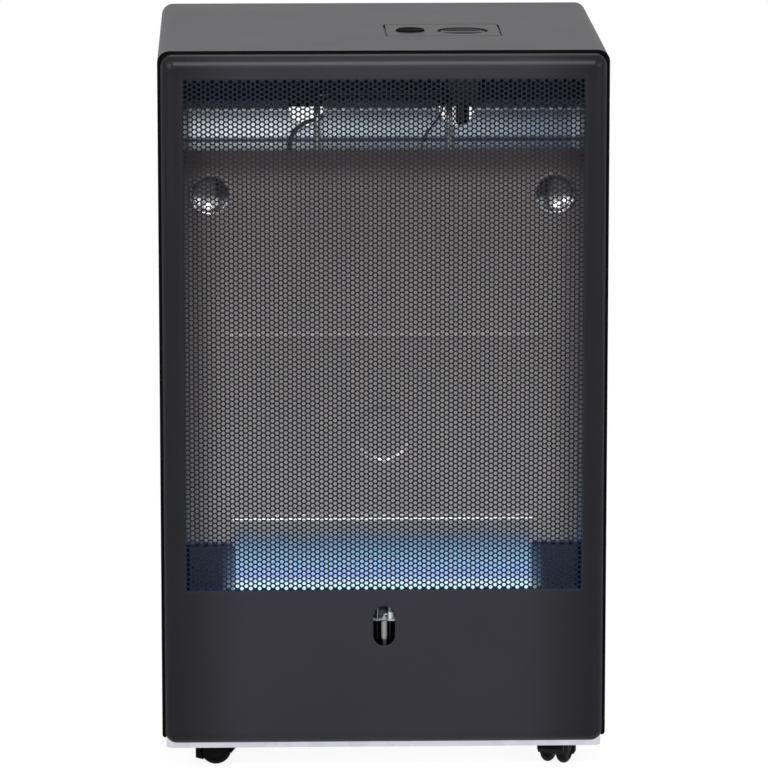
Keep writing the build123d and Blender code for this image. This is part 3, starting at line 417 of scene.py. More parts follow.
def addPiece(name, surface, nodeName=None, finish=None, slotName=None, sharpAngle=30, turnOut=True):
    # a surface, which is its points and one or several arrays of faces, becomes one mesh in place of its node,
    # with the node's body; its finish is the one named, else the one for the node's slot or for the slot it names
    bodyName, slotName = bodyOf.get(nodeName, "root"), slotName or slotOf[nodeName]
    points, faces = surface
    faces = faces if isinstance(faces, list) else [faces]
    corners = np.concatenate([part.ravel() for part in faces])
    counts = np.concatenate([np.full(len(part), part.shape[1]) for part in faces])
    mesh = bpy.data.meshes.new(name)
    mesh.vertices.add(points.size // 3)
    mesh.vertices.foreach_set("co", points.astype(np.float32).ravel())
    mesh.loops.add(len(corners))
    mesh.loops.foreach_set("vertex_index", corners.astype(np.int32))
    mesh.polygons.add(len(counts))
    mesh.polygons.foreach_set("loop_start", (np.cumsum(counts) - counts).astype(np.int32))
    mesh.update(calc_edges=True)
    cleanMesh(mesh, sharpAngle, lambda work: turnOut and bmesh.ops.recalc_face_normals(work, faces=work.faces))
    mesh.materials.append(finishes[finish or slotLook[slotName]])
    piece = addObject(name, mesh)
    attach(piece, bodyName)
    if nodeName:
        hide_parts(nodeName)
    return piece


def places(*parts):
    # x, y and z of matching shapes as one array
    return np.stack(np.broadcast_arrays(*parts), -1)


def gridFaces(rows, columns, closed=False):
    # squares between neighbours of a rows by columns grid; a closed one joins its last column to the first
    i, j = np.meshgrid(np.arange(rows - 1), np.arange(columns if closed else columns - 1), indexing="ij")
    nextColumn = (j + 1) % columns
    return np.stack([i * columns + j, (i + 1) * columns + j, (i + 1) * columns + nextColumn,
        i * columns + nextColumn], -1).reshape(-1, 4)


def frontGrid(points, closed=False):
    # a grid of points whose squares face the front
    return points, gridFaces(*points.shape[:2], closed)[:, ::-1]


def capped(rings):
    # rings of points joined in turn, with a flat face over the first and the last
    rows, columns = rings.shape[:2]
    ends = np.stack([np.arange(columns)[::-1], np.arange(columns) + (rows - 1) * columns])
    return rings, [gridFaces(rows, columns, closed=True), ends]


def merged(*surfaces):
    # several surfaces as one
    points, faces, count = [], [], 0
    for surfacePoints, surfaceFaces in surfaces:
        points.append(surfacePoints.reshape(-1, 3))
        faces += [part + count for part in (surfaceFaces if isinstance(surfaceFaces, list) else [surfaceFaces])]
        count += len(points[-1])
    return np.concatenate(points), faces


def turned(profile, origin, axis=(0, 0, 1), sides=32):
    # each pair of radius and distance along the axis, in millimetres, goes once round the axis
    profile = np.asarray(profile, dtype=float) / 1000
    axis = np.asarray(axis, dtype=float) / np.linalg.norm(axis)
    across = np.cross(axis, (0, 1, 0) if abs(axis[1]) < 0.9 else (1, 0, 0))
    across /= np.linalg.norm(across)
    angle = np.arange(sides) * 2 * pi / sides
    ring = np.cos(angle)[:, None] * across + np.sin(angle)[:, None] * np.cross(axis, across)
    points = np.asarray(origin) + profile[:, 1, None, None] * axis + profile[:, 0, None, None] * ring[None]
    return points, gridFaces(len(profile), sides, closed=True)


def bentPath(points, bends, steps):
    # straight runs joined by arcs: each corner's arc has the bend's radius and touches both runs
    points = np.asarray(points, dtype=float)
    path = [points[0]]
    for before, corner, after, radius in zip(points, points[1:], points[2:], bends):
        back = (before - corner) / np.linalg.norm(before - corner)
        ahead = (after - corner) / np.linalg.norm(after - corner)
        half = 0.5 * np.arccos(np.clip(np.dot(back, ahead), -1, 1))
        middle = corner + (back + ahead) / np.linalg.norm(back + ahead) * radius / sin(half)
        first, last = (corner + arm * radius / np.tan(half) - middle for arm in (back, ahead))
        sweep = pi - 2 * half
        turn = np.linspace(0, 1, steps)[:, None]
        path.extend(middle + (np.sin((1 - turn) * sweep) * first + np.sin(turn * sweep) * last) / sin(sweep))
    path.append(points[-1])
    return np.array(path)


def tube(path, radius, sides):
    # a circle carried along the path, square to it, with a cap at each end
    ahead = np.gradient(path, axis=0)
    ahead /= np.linalg.norm(ahead, axis=1)[:, None]
    side = np.cross(ahead, (0.31, 0.85, 0.42))
    side /= np.linalg.norm(side, axis=1)[:, None]
    up = np.cross(ahead, side)
    angle = np.arange(sides) * 2 * pi / sides
    ring = np.cos(angle)[None, :, None] * side[:, None] + np.sin(angle)[None, :, None] * up[:, None]
    points = np.concatenate([path[:1, None] + 0 * ring[:1], path[:, None] + radius * ring,
        path[-1:, None] + 0 * ring[:1]])
    return points, gridFaces(len(path) + 2, sides, closed=True)


def evenNormals(piece):
    # large faces shade flat, small ones follow them
    piece.modifiers.new("flatFaces", "WEIGHTED_NORMAL").keep_sharp = True


def smoothCopy(nodeName, bevel, sharpAngle=30):
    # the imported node's own form, its points joined, its bends shaded smooth and its folds softened
    source = nodes[nodeName]
    mesh = source.data.copy()
    mesh.name = nodeName + "Smooth"
    mesh.transform(source.matrix_world)
    cleanMesh(mesh, sharpAngle, lambda work: bmesh.ops.dissolve_limit(
        work, angle_limit=radians(0.5), verts=work.verts, edges=work.edges))
    piece = addObject(nodeName + "Smooth", mesh)
    if bevel:
        soften = piece.modifiers.new("softFolds", "BEVEL")
        soften.width, soften.segments, soften.harden_normals = bevel, 2, True
        soften.limit_method, soften.angle_limit = "ANGLE", radians(sharpAngle)
    else:
        evenNormals(piece)
    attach(piece, bodyOf[nodeName])
    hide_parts(nodeName)
    return piece


def thicken(piece, thickness):
    # gives an open sheet its wall on the side away from its normals
    wall = piece.modifiers.new("wall", "SOLIDIFY")
    wall.thickness, wall.offset = thickness, -1
    evenNormals(piece)


panelFace = panelLow[1]
panelSettings = {
    "corner": 0.012, "rollHeight": 0.015, "rollDepth": 0.0115, "rim": 0.008, "sheet": 0.0008,
    "fieldHalf": 0.1995, "fieldLow": 0.191, "fieldHigh": 0.711, "fieldSink": 0.0008, "fieldStep": 0.0014,
    "sightHalfWidth": 0.011, "sightHalfHeight": 0.0205, "sightHeight": 0.154, "sightLip": 0.0009,
}
grilleSettings = {"columns": 89, "rows": 104, "holeRadius": 0.00196}


def panelLoop(inset, y, corner, rollHeight, arc=10):
    # a rounded rectangle drawn in from the panel's edge, anticlockwise seen from the front; its corners shrink
    # to points where the roll ends
    radius = corner * max(1 - inset / rollHeight, 0)
    halfWidth = panelHigh[0] - inset - radius
    low, high = panelLow[2] + inset + radius, panelHigh[2] - inset - radius
    turn = np.linspace(0, pi / 2, arc)
    angles = np.concatenate([turn + quarter * pi / 2 for quarter in range(4)])
    centreX = np.repeat([halfWidth, -halfWidth, -halfWidth, halfWidth], arc)
    centreZ = np.repeat([high, high, low, low], arc)
    return places(centreX + radius * np.cos(angles), y, centreZ + radius * np.sin(angles))


def rayReach(angles, outline):
    # how far each ray from the origin goes before it crosses a convex outline: the least of its edge crossings
    edge = np.roll(outline, -1, axis=0) - outline
    c, s = np.cos(angles)[:, None], np.sin(angles)[:, None]
    reach = (outline[:, 0] * edge[:, 1] - outline[:, 1] * edge[:, 0]) / (c * edge[:, 1] - s * edge[:, 0] + 1e-12)
    return np.where(reach > 0, reach, 9).min(axis=1)


def upright(left, right, low, high, y):
    # the corners of an upright rectangle, anticlockwise seen from the front
    return np.array([(left, y, low), (right, y, low), (right, y, high), (left, y, high)])


def panelFrame(corner, rollHeight, rollDepth, rim, sheet, fieldHalf, fieldLow, fieldHigh, fieldSink, fieldStep,
        sightHalfWidth, sightHalfHeight, sightHeight, sightLip):
    # the pressed edge is a profile of insets and depths carried round the panel; flat strips, an oval ring
    # round the sight hole and a shallow step close the face up to the field of holes
    front, back = panelFace, panelHigh[1]
    turn = np.linspace(0, pi / 2, 15)
    insets = np.concatenate([[rim, 0], rollHeight - rollHeight * np.cos(turn)])
    depths = np.concatenate([[back, back], front + rollDepth * (1 - np.sin(turn))])
    loops = np.stack([panelLoop(inset, depth, corner, rollHeight) for inset, depth in zip(insets, depths)])
    surfaces = [frontGrid(loops, closed=True)]
    outerX, innerX = panelHigh[0] - rollHeight, fieldHalf + fieldStep
    outerLow, outerHigh = panelLow[2] + rollHeight, panelHigh[2] - rollHeight
    innerLow, innerHigh = fieldLow - fieldStep, fieldHigh + fieldStep
    for strip in ((-outerX, -innerX, outerLow, outerHigh), (innerX, outerX, outerLow, outerHigh),
            (-innerX, innerX, innerHigh, outerHigh)):
        surfaces.append((upright(*strip, front), np.arange(4)[None]))
    low, high = outerLow - sightHeight, innerLow - sightHeight
    block = np.array([(-innerX, low), (innerX, low), (innerX, high), (-innerX, high)])
    ownAngles = np.arctan2(block[:, 1], block[:, 0])
    angle = np.unique(np.round(np.concatenate([np.linspace(-pi, pi, 64, endpoint=False), ownAngles]), 9))
    ovalTurn = np.linspace(0, 2 * pi, 96, endpoint=False)
    oval = sightHalfWidth * places(np.cos(ovalTurn), np.sin(ovalTurn))
    oval[:, 1] += np.sign(np.round(oval[:, 1], 6)) * (sightHalfHeight - sightHalfWidth)
    wide, hole, lip = rayReach(angle, block), rayReach(angle, oval), sightLip
    steps = ((wide, 0), (hole + 3 * lip, 0), (hole + lip, 0), (hole + 0.3 * lip, 0.3 * lip), (hole, lip))
    rings = np.stack([places(r * np.cos(angle), front + y, sightHeight + r * np.sin(angle)) for r, y in steps])
    step = np.stack([upright(-innerX, innerX, innerLow, innerHigh, front),
        upright(-fieldHalf, fieldHalf, fieldLow, fieldHigh, front + fieldSink)])
    surfaces += [frontGrid(part, closed=True) for part in (rings, step)]
    piece = addPiece("panelFrame", merged(*surfaces), "front_panel", "panelCoat", sharpAngle=22, turnOut=False)
    thicken(piece, sheet)


def grillePiece(name, firstColumn, lastColumn, columns, rows, holeRadius, panel):
    # every hole is an eight-sided opening in its own upright cell: cell outline, hole front, hole back;
    # every second column is shifted by half a cell and closed by plain half cells
    low, high = panel["fieldLow"], panel["fieldHigh"]
    pitchX, pitchZ = 2 * panel["fieldHalf"] / columns, (high - low) / rows
    column = np.arange(firstColumn, lastColumn)
    shifted = column % 2 == 1
    x = -panel["fieldHalf"] + (column + 0.5) * pitchX
    centreX = np.concatenate([np.repeat(x[~shifted], rows), np.repeat(x[shifted], rows - 1)])
    centreZ = low + pitchZ * np.concatenate([np.tile(np.arange(rows) + 0.5, (~shifted).sum()),
        np.tile(np.arange(rows - 1) + 1, shifted.sum())])
    angle = np.arange(8) * pi / 4
    outline = np.sign(np.round([np.cos(angle), np.sin(angle)], 6)).T * (pitchX / 2, pitchZ / 2)
    hole = holeRadius * places(np.cos(angle), np.sin(angle))
    front = panelFace + panel["fieldSink"]
    back = front + panel["sheet"]
    levels = ((outline, front), (hole, front), (hole, back), (outline, back))
    template = np.concatenate([np.insert(ring, 1, depth, axis=1) for ring, depth in levels])
    centres = places(centreX, 0, centreZ)
    cell = gridFaces(4, 8, closed=True)[:, ::-1]
    cells = (centres[:, None] + template, (np.arange(len(centres))[:, None, None] * 32 + cell).reshape(-1, 4))
    endX = np.repeat(x[shifted], 2)
    endZ = np.tile([low, high - pitchZ / 2], shifted.sum())
    square = np.array([(-0.5, 0), (0.5, 0), (0.5, 1), (-0.5, 1)]) * (pitchX, pitchZ / 2)
    halves = places(endX[:, None, None] + square[:, 0], np.array([front, back])[None, :, None],
        endZ[:, None, None] + square[:, 1])
    first = np.arange(len(endX))[:, None] * 8
    halfFaces = np.concatenate([first + np.arange(4), first + np.array([7, 6, 5, 4])])
    # the grille gets the darker copy of the panel's paint: painted shade, with a painted flame glow low down
    addPiece(name, merged(cells, (halves, halfFaces)), "front_panel", "grillePaintedShadeAndGlow", sharpAngle=50, turnOut=False)


panelFrame(**panelSettings)
for letter, first, last in (("A", 0, 30), ("B", 30, 60), ("C", 60, 89)):
    grillePiece("grille" + letter, first, last, **grilleSettings, panel=panelSettings)
print("front panel: holes in", grilleSettings["columns"], "columns")

shieldSettings = {
    "half": 0.212, "low": 0.226, "high": 0.631, "plane": -0.14, "fold": 0.012, "sheet": 0.0006,
    "cupX": 0.174, "cupZ": 0.586, "cupRadius": 0.019, "cupDepth": 0.0062, "cupLip": 0.0008, "cupLipWidth": 0.0018,
    "ringZ": 0.3405, "ringRadius": 0.0295, "ringWall": 0.0045, "ringDepth": 0.0016,
    "swageZ": 0.441, "swageHalf": 0.163, "swageWidth": 0.0024, "swageDepth": 0.001, "swageEnd": 0.006,
}


def smoothStep(value):
    # 0 below 0, 1 above 1, and a slope without corners between them
    t = np.clip(value, 0, 1)
    return t * t * (3 - 2 * t)


def finerNear(low, high, near, reach=0.034, fine=0.0014, coarse=0.012):
    # grid lines: coarse steps over the whole run, fine ones within reach of each place
    lines = [np.linspace(low, high, round((high - low) / coarse) + 1)]
    lines += [np.linspace(place - reach, place + reach, round(2 * reach / fine) + 1) for place in near]
    lines = np.unique(np.round(np.concatenate(lines), 6))
    return lines[(lines >= low) & (lines <= high)]


def heatShield(half, low, high, plane, fold, sheet, cupX, cupZ, cupRadius, cupDepth, cupLip, cupLipWidth, ringZ,
        ringRadius, ringWall, ringDepth, swageZ, swageHalf, swageWidth, swageDepth, swageEnd):
    # depth over the sheet: dished cups with a raised lip and a shallow disc pressed back, a swage pressed forward
    x = finerNear(-half + 0.001, half - 0.001, (-cupX, 0, cupX))
    z = finerNear(low, high, (cupZ, ringZ, swageZ))
    edge = np.array([(half, fold), (half, 0.001), (half - 0.0003, 0.0003)])
    acrossX = np.concatenate([-edge[:, 0], x, edge[::-1, 0]])
    foldBack = np.concatenate([edge[:, 1], np.zeros(len(x)), edge[::-1, 1]])
    gridZ, gridX = np.meshgrid(z, acrossX, indexing="ij")
    cup = np.hypot(np.abs(gridX) - cupX, gridZ - cupZ)
    ring = np.hypot(gridX, gridZ - ringZ)
    depth = cupDepth * np.maximum(1 - (cup / cupRadius) ** 2, 0)
    depth -= cupLip * np.exp(-((cup - cupRadius) / cupLipWidth) ** 2)
    depth += ringDepth * smoothStep((ringRadius - ring) / ringWall)
    run = smoothStep((swageHalf - np.abs(gridX)) / swageEnd)
    depth -= swageDepth * run * np.exp(-((gridZ - swageZ) / swageWidth) ** 2)
    surface = frontGrid(places(gridX, plane + depth + foldBack, gridZ))
    piece = addPiece("heatShieldPressed", surface, "heat_shield", sharpAngle=50, turnOut=False)
    # the cups and the lower wall of the ring get the brighter, glossier copy of the metal: a painted highlight
    x, y, z = faceData(piece)[1].T
    ring = np.hypot(x, z - ringZ) - ringRadius
    ringHighlight = (z < ringZ - 0.7 * ringRadius) & (ring < 0) & (ring > -ringWall)
    finishFaces(piece, "cupPaintedHighlight", (np.hypot(np.abs(x) - cupX, z - cupZ) < cupRadius + 0.001) | ringHighlight)
    thicken(piece, sheet)


heatShield(**shieldSettings)
print("heat shield")

flameSettings = {
    "planes": (-0.168, -0.162, -0.156), "half": 0.165, "low": 0.1785, "high": 0.258, "ripple": 0.0015,
    "stops": ((0.0, (0.75, 1.0, 1.0)), (0.15, (0.7, 0.97, 1.0)), (0.25, (0.4, 0.52, 0.98)),
        (0.36, (0.39, 0.61, 0.93)), (0.52, (0.31, 0.54, 0.74)), (0.72, (0.17, 0.3, 0.48)), (1.0, (0.14, 0.2, 0.34))),
    "strength": 1.0, "thickness": 0.6, "sideFade": (0.146, 0.1535), "haze": 0.14, "tongue": 0.35, "tip": 0.92,
}


def flameFinish(half, low, high, stops, strength, thickness, sideFade, haze, tongue, tip):
    # light by height above the ports; the veil thins with height, is broken into tongues by drawn-out noise and
    # ends in a faint haze at either side
    material, tree, shader = principled("blueFlame")
    place = ownPlace(tree)
    parts = addNode(tree, "SeparateXYZ", {0: place})
    height = rangeNode(tree, parts.outputs["Z"], low, high)
    drawn = addNode(tree, "Mapping", {"Vector": place, "Scale": (1, 1, 0.2)})
    lift = mathNode(tree, "MULTIPLY_ADD", noise(tree, drawn, 60, 3), tongue, height)
    veil = rangeNode(tree, mathNode(tree, "SUBTRACT", lift, tongue / 2), tip, 0, 0, thickness, "SMOOTHSTEP")
    ramp = addNode(tree, "ValToRGB", {0: height})
    elements = ramp.color_ramp.elements
    while len(elements) < len(stops):
        elements.new(0.5)
    for element, (position, _) in zip(elements, stops):
        element.position = position
    for element, (_, colour) in zip(elements, stops):
        element.color = (*colour, 1)
    aside = mathNode(tree, "ABSOLUTE", parts.outputs["X"])
    side = rangeNode(tree, aside, sideFade[1], sideFade[0], slope="SMOOTHSTEP")
    faint = rangeNode(tree, aside, half, sideFade[1], 0, haze, "SMOOTHSTEP")
    cover = mathNode(tree, "MULTIPLY", veil, mathNode(tree, "MAXIMUM", side, faint))
    setInputs(tree, shader, {"Base Color": 0, "Roughness": 1, "Specular IOR Level": 0, "Emission Strength": strength,
        "Emission Color": ramp, "Alpha": cover})
    return material


def flames(planes, half, low, high, ripple, **light):
    # upright veils over the ports, each rippled a little by two waves along its length
    finishes["blueFlame"] = flameFinish(half, low, high, **light)
    gridZ, gridX = np.meshgrid(np.linspace(low, high, 17), np.linspace(-half, half, 81), indexing="ij")
    for index, plane in enumerate(planes):
        wave = np.sin(gridX * 210 + index * 2) + np.sin(gridX * 470 + gridZ * 90 + index)
        surface = frontGrid(places(gridX, plane + ripple * 0.5 * wave, gridZ))
        addPiece("flameVeil" + "ABC"[index], surface, finish="blueFlame", slotName="burner_steel", sharpAngle=60,
            turnOut=False)


flames(**flameSettings)
print("flames")

pilotSettings = {
    "burner": {"foot": (0.0065, -0.1825, 0.146), "profile": (
        (0, 0), (2.6, 0), (3, 0.4), (3, 13), (4, 13.2), (4, 19), (4, 22.5), (3.6, 24.2), (2.6, 25), (1.2, 25),
        (1.2, 21), (0, 21))},
    "thermocouple": {"foot": (-0.0065, -0.1835, 0.146), "profile": (
        (0, 0), (2, 0), (2, 14.5), (1.9, 15), (1.9, 23), (1.5, 24.4), (0.8, 25), (0, 25))},
    "electrode": {"foot": (0.0003, -0.1905, 0.1375), "profile": (
        (0, 0), (1.5, 0.25), (2.6, 1.1), (3.0, 2.4), (3.0, 22.0), (2.8, 22.6), (0.9, 25.4), (0.6, 25.8))},
    "wire": {"points": ((0.0003, -0.1905, 0.1628), (0.0003, -0.1905, 0.164), (0.0036, -0.1905, 0.1641)),
        "bend": 0.0006, "radius": 0.0006},
    "brightCollar": (0.1585, 0.1655),
}


def pilotGroup(burner, thermocouple, electrode, wire, brightCollar):
    # round pieces: each profile of radius and height goes once round its upright axis
    piece = addPiece("burnerTurned", turned(burner["profile"], burner["foot"]), "pilot_burner", "darkPilotSteel")
    height = faceData(piece)[1][:, 2]
    finishFaces(piece, "pilotSheet", (height > brightCollar[0]) & (height < brightCollar[1]))
    addPiece("thermocoupleTurned", turned(thermocouple["profile"], thermocouple["foot"]), "thermocouple",
        "darkPilotSteel")
    addPiece("electrodeCeramic", turned(electrode["profile"], electrode["foot"]), "spark_electrode")
    addPiece("electrodeWire", tube(bentPath(wire["points"], [wire["bend"]], 5), wire["radius"], 12),
        "spark_electrode", slotName="bright_steel")


pilotGroup(**pilotSettings)
print("pilot")

knobLow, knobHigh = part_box("knob")
buttonLow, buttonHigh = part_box("igniter_button")
controlSettings = {
    "knobProfile": ((4.1, 0), (23, 0), (23.5, 0.5), (23.5, 13.6), (23.3, 14.9), (22.6, 15.8), (21.8, 16),
        (21.0, 15.8), (20.5, 15.1), (20.3, 11.2), (19.8, 10.4), (19.0, 10), (0, 10)),
    "gripHalfWidth": 0.0045, "gripFoot": 0.0095, "gripRound": 0.0012, "gripReach": 0.0212,
    "buttonProfile": ((3, 0), (14.2, 0), (14.5, 0.4), (14.5, 14.6), (14.2, 15.6), (13.4, 16), (12.6, 15.9), (9, 15.3),
        (0, 15)),
    "stemProfile": ((0, -20), (3, -20), (3, 0)),
}


def roundedBar(half, low, high, reach, bend, centre):
    # a bar along X: its section is a box with rounded upper edges, closed at both ends
    turn = np.linspace(0, pi / 2, 6)
    side, rise = half - bend + bend * np.cos(turn), high - bend + bend * np.sin(turn)
    y = centre[1] + np.concatenate([[half], side, -side[::-1], [-half]])
    z = np.concatenate([[low], rise, rise[::-1], [low]])
    ends = centre[0] + np.array([-reach, reach])
    return capped(places(ends[:, None], y, z))


def controls(knobProfile, gripHalfWidth, gripFoot, gripRound, gripReach, buttonProfile, stemProfile):
    # knob and button are profiles of radius and height turned about their upright axes
    centre = (np.array(knobLow) + np.array(knobHigh)) / 2
    body = turned(knobProfile, (centre[0], centre[1], knobLow[2]), sides=72)
    grip = roundedBar(gripHalfWidth, knobLow[2] + gripFoot, knobHigh[2] - 0.0001, gripReach, gripRound, centre)
    addPiece("knobTurned", merged(body, grip), "knob")
    middle = (np.array(buttonLow) + np.array(buttonHigh)) / 2
    foot = (middle[0], middle[1], buttonLow[2] - stemProfile[0][1] / 1000)
    button = merged(turned(buttonProfile, foot, sides=64), turned(stemProfile, foot, sides=24))
    addPiece("buttonTurned", button, "igniter_button", "dullBlack")


controls(**controlSettings)
print("knob and button")

pipeSettings = {
    "burner_pipe": {"radius": 0.0034, "bends": (24, 24, 9), "points": ((67.5, -60, 679), (67.5, -133.7, 679),
        (67.5, -133.7, 163), (189, -133.7, 163), (189, -148.6, 163))},
    "pilot_pipe": {"radius": 0.003, "bends": (12, 24, 24, 24), "points": ((6.5, -182.5, 146), (6.5, -182.5, 116),
        (-65, -133.7, 116), (-65, -133.7, 679), (-65, -56, 679), (62.5, -56, 679))},
    "thermocouple_lead": {"radius": 0.001, "bends": (12, 24, 12, 12),
        "points": ((-6.5, -183.5, 146), (-6.5, -183.5, 125), (40, -133.7, 125), (40, -133.7, 641), (60, -131, 667),
        (66, -60, 690))},
    "igniter_lead": {"radius": 0.0022, "bends": (12, 24, 12, 15, 12, 12, 20, 12),
        "points": ((0.8, -190.5, 139), (0.8, -190.5, 107), (-93, -133.7, 107), (-93, -133.7, 641),
        (-87.5, -134.5, 651.5), (-79, -135, 658), (-69, -127.5, 660), (-58, -110, 661), (31, -35, 650),
        (31, -35, 676))},
}


def pipes(settings):
    # a circle carried along straight runs and arcs; places and bends in millimetres
    for nodeName, pipe in settings.items():
        path = bentPath(np.array(pipe["points"]) / 1000, [bend / 1000 for bend in pipe["bends"]], 9)
        addPiece(nodeName + "_round", tube(path, pipe["radius"], 14), nodeName, sharpAngle=50)


pipes(pipeSettings)
print("pipes and leads")

# each caster's stud on the floor plan, and its turn in degrees
casterCorners = {"front_left": (-0.182, -0.148, 0), "front_right": (0.182, -0.148, 247),
    "rear_left": (-0.182, 0.152, 40), "rear_right": (0.182, 0.152, 160)}
hoodSettings = {"inner": 0.0159, "outer": 0.0206, "half": 0.014, "innerSweep": (-13, 218.5), "outerSweep": (5, 201.5),
    "edge": 0.0004, "webHalf": 0.0027, "bossHalf": 0.0075, "bossCorner": 0.0025, "bossTop": 0.0412}
wheelSettings = {
    "trail": 0.011, "radius": 0.016,
    "profile": ((0, 3.0), (11.5, 3.0), (12.6, 3.3), (14.0, 4.2), (15.2, 5.8), (15.8, 7.2), (16, 8.6), (15.8, 10.0),
        (15.2, 11.4), (14.3, 12.6), (13.2, 13.5), (12.2, 13.9), (11.4, 13.9), (10.8, 13.3), (10.2, 12.9), (6.4, 13.1),
        (5.6, 13.5), (4.6, 13.6), (0, 13.6)),
}


def casterPlace(corner, local):
    # local places run along the rolling direction from the stud, along the axle, and up from the floor
    x, y, turn = casterCorners[corner]
    c, s = cos(radians(turn)), sin(radians(turn))
    along, aside = local[..., 0], local[..., 1]
    return places(x + c * along + s * aside, y + s * along - c * aside, local[..., 2])


def casterHood(corner, inner, outer, half, innerSweep, outerSweep, edge, webHalf, bossHalf, bossCorner, bossTop):
    # shell: a thin rounded section carried over the wheels; web: a plate inside it; boss: an upright block
    # whose foot follows the wheel space
    trail, axle = wheelSettings["trail"], wheelSettings["radius"]
    angle, outerAngle = (np.radians(np.linspace(*sweep, 49)) for sweep in (innerSweep, outerSweep))
    section = np.array([(inner + edge, -half), (outer - edge, -half), (outer, -half + edge), (outer, half - edge),
        (outer - edge, half), (inner + edge, half), (inner, half - edge), (inner, -half + edge)])
    isOuter = section[:, 0] > (inner + outer) / 2
    turns = np.where(isOuter, outerAngle[:, None], angle[:, None])
    below = isOuter & (np.cos(turns) < 0) & (np.sin(turns) < 0)
    radius = section[:, 0] / np.where(below, -np.cos(turns), 1)
    shell = places(trail + radius * np.cos(turns), section[:, 1], axle + radius * np.sin(turns))
    rim = inner * 1.01
    web = places(trail + rim * np.cos(angle), np.array([[-webHalf], [webHalf]]), axle + rim * np.sin(angle))
    turn = np.linspace(0, pi / 2, 6)
    turns = np.concatenate([turn + quarter * pi / 2 for quarter in range(4)])
    outline = places(np.repeat([1, -1, -1, 1], 6) * (bossHalf - bossCorner) + bossCorner * np.cos(turns),
        np.repeat([1, 1, -1, -1], 6) * (half - bossCorner) + bossCorner * np.sin(turns))
    feet = [outline * share for share in (0, 0.35, 0.7, 1)]
    rings = [np.column_stack([ring, axle + np.sqrt(np.maximum(inner ** 2 - (ring[:, 0] - trail) ** 2, 0))])
        for ring in feet]
    tops = ((1, bossTop - edge), (1 - edge / bossHalf, bossTop), (0, bossTop))
    rings += [np.column_stack([outline * share, np.full(24, top)]) for share, top in tops]
    boss = np.stack(rings), gridFaces(len(rings), 24, closed=True)
    points, faces = merged(capped(shell), capped(web), boss)
    addPiece("hood_" + corner, (casterPlace(corner, points), faces), "caster_hood_" + corner, sharpAngle=35)


def casterWheel(corner, letter, side, trail, radius, profile):
    # the wheel's profile of radius and distance from the web goes once round the axle
    turn = radians(casterCorners[corner][2])
    origin = casterPlace(corner, np.array((trail, 0, radius)))
    surface = turned(profile, origin, (sin(turn) * side, -cos(turn) * side, 0), sides=48)
    name = "wheel_" + corner + "_" + letter
    addPiece("round_" + name, surface, name)


for corner in casterCorners:
    casterHood(corner, **hoodSettings)
    casterWheel(corner, "a", -1, **wheelSettings)
    casterWheel(corner, "b", 1, **wheelSettings)
print("casters")

guardSettings = {"half": 0.1525, "low": 0.168, "high": 0.2562, "front": -0.148, "back": -0.14, "fold": 0.0045,
    "sheet": 0.0006}
bandSettings = {
    "half": 0.2242, "low": 0.045, "plane": -0.128, "foldZ": 0.6395, "shelfZ": 0.671, "lean": 0.008,
    "crease": 0.0012, "creaseHalf": 0.0008, "fold": 0.0014, "shelfDepth": 0.058, "lip": 0.012,
    "notchX": 0.0755, "notchZ": 0.6716, "notchRadius": 0.018, "wing": 0.015, "sheet": 0.0006,
}
nozzleSettings = {
    "foot": (0.0845, -0.035, 0.638),
    "profile": ((0, 0), (3.6, 0), (4.2, 0.5), (4.2, 5), (6.8, 5.4), (7.3, 6), (7.3, 25.4), (6.8, 26), (0, 26)),
}


def foldedSheet(x, y, z):
    # a profile of depths and heights carried along X
    return frontGrid(places(x, y[:, None], z[:, None]))


def flameGuard(half, low, high, front, back, fold, sheet):
    # an upright sheet whose top is folded back over a small radius
    turn = np.linspace(0, pi / 2, 7)
    y = np.concatenate([[front], front + fold - fold * np.cos(turn), [back]])
    z = np.concatenate([[low], high - fold + fold * np.sin(turn), [high]])
    # the fold's light line is a painted highlight in this finish
    piece = addPiece("flameGuardFolded", foldedSheet(np.linspace(-half, half, 9), y, z), "flame_guard", "ledgePaintedHighlight",
        "zinc_sheet", turnOut=False)
    thicken(piece, sheet)


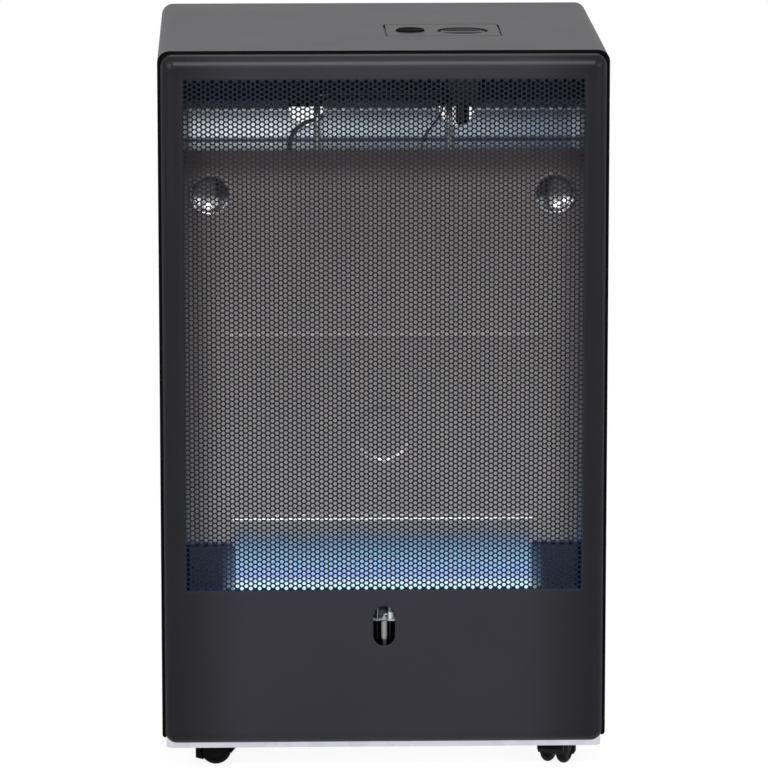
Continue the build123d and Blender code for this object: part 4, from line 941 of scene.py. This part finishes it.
def heatBulkhead(half, low, plane, foldZ, shelfZ, lean, crease, creaseHalf, fold, shelfDepth, lip, notchX, notchZ,
        notchRadius, wing, sheet):
    # rows of the upright part end at the shelf fold or, at each pipe notch, on its circle; the shelf and its lip
    # follow in the three runs beside the notches
    def depthAt(z):
        # the sheet stands upright, steps back at the crease and leans back above it
        above = np.maximum(z - foldZ, 0) / (shelfZ - foldZ)
        return plane + (lean - crease) * above + crease * smoothStep((z - foldZ + creaseHalf) / (2 * creaseHalf))

    top, nearX, farX = shelfZ - fold, notchX - notchRadius, notchX + notchRadius
    around = notchX - notchRadius * np.cos(np.linspace(0, pi, 33))
    outside = np.linspace(farX, half, 9)
    x = np.concatenate([-outside, -around, np.linspace(-nearX, nearX, 9), around, outside])
    x = np.unique(np.round(x, 7))
    offset = np.abs(np.abs(x) - notchX)
    circle = notchZ - np.sqrt(np.maximum(notchRadius ** 2 - offset ** 2, 0))
    ends = np.where(offset < notchRadius, np.minimum(circle, top), top)
    start = foldZ - 0.0012
    share = np.concatenate([[0, 0.012, 0.024, 0.036, 0.048, 0.06, 0.08], np.linspace(0.12, 1, 12)])[:, None]
    z = np.concatenate([np.full((1, len(x)), low), start + share * (ends - start)])
    surfaces = [frontGrid(places(x, depthAt(z), z))]
    turn = np.linspace(0, pi / 2, 6)
    face = depthAt(top)
    rear = face + shelfDepth
    front = np.concatenate([face + fold - fold * np.cos(turn), [rear - fold, rear, rear]])
    rise = np.concatenate([top + fold * np.sin(turn), [shelfZ, shelfZ - fold, shelfZ - lip]])
    for left, right in ((-half, -farX), (-nearX, nearX), (farX, half)):
        surfaces.append(foldedSheet(np.linspace(left, right, 5), front, rise))
    for side in (-1, 1):
        ends = np.array([(plane, low), (plane + wing, low), (plane + wing, foldZ), (plane, foldZ)])
        surfaces.append((np.insert(ends, 0, side * half, axis=1), np.arange(4)[None, ::side]))
    # its finish paints the band's shade, highlights and the crease's dark line
    piece = addPiece("bulkheadFolded", merged(*surfaces), "bulkhead", "galvanisedBandPaintedLight", sharpAngle=40, turnOut=False)
    thicken(piece, sheet)


flameGuard(**guardSettings)
heatBulkhead(**bandSettings)
addPiece("nozzleTurned", turned(nozzleSettings["profile"], nozzleSettings["foot"]), "inlet_nozzle")
print("guard, bulkhead and inlet")

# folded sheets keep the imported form, with softened folds
softFolds = {
    "casing": 0.0003, "base_tray": 0.0004, "rear_cover": 0, "rear_upper_panel": 0.0003, "cheek_left": 0.0002,
    "cheek_right": 0.0002, "console": 0.0004, "burner_body": 0.0003, "gas_valve": 0.0008, "pilot_bracket": 0.0003,
    "injector_elbow": 0.0004, "piezo_igniter": 0.0004, "burner_bracket_left": 0.0002, "burner_bracket_right": 0.0002,
}
ownFinish = {"cheek_left": "cheekSheet", "cheek_right": "cheekSheet", "pilot_bracket": "pilotSheet"}
for nodeName, bevel in softFolds.items():
    smooth = smoothCopy(nodeName, bevel)
    if nodeName in ownFinish:
        repaint(smooth, ownFinish[nodeName])
    normals, middles = faceData(smooth)
    if nodeName == "casing":
        # inner faces get a pale bluish paint, painted light inside the cabinet, and the return behind the panel's
        # edge is painted near black, a painted shadow in the gap
        inside = (normals[:, 0] * np.sign(middles[:, 0]) < -0.7) | ((normals[:, 2] < -0.7) & (middles[:, 2] > 0.6))
        finishFaces(smooth, "insidePaintedLight", inside)
        finishFaces(smooth, "gapPaintedShadow", (normals[:, 1] < -0.9) & (middles[:, 1] < -0.187))
    if nodeName == "rear_upper_panel":
        # the panel's front faces get the same painted light
        finishFaces(smooth, "insidePaintedLight", normals[:, 1] < -0.9)
    if nodeName == "pilot_bracket":
        # the tab above z 0.1598 gets the darker finish
        finishFaces(smooth, "darkPilotTab", middles[:, 2] > 0.1598)
print("folded sheets")
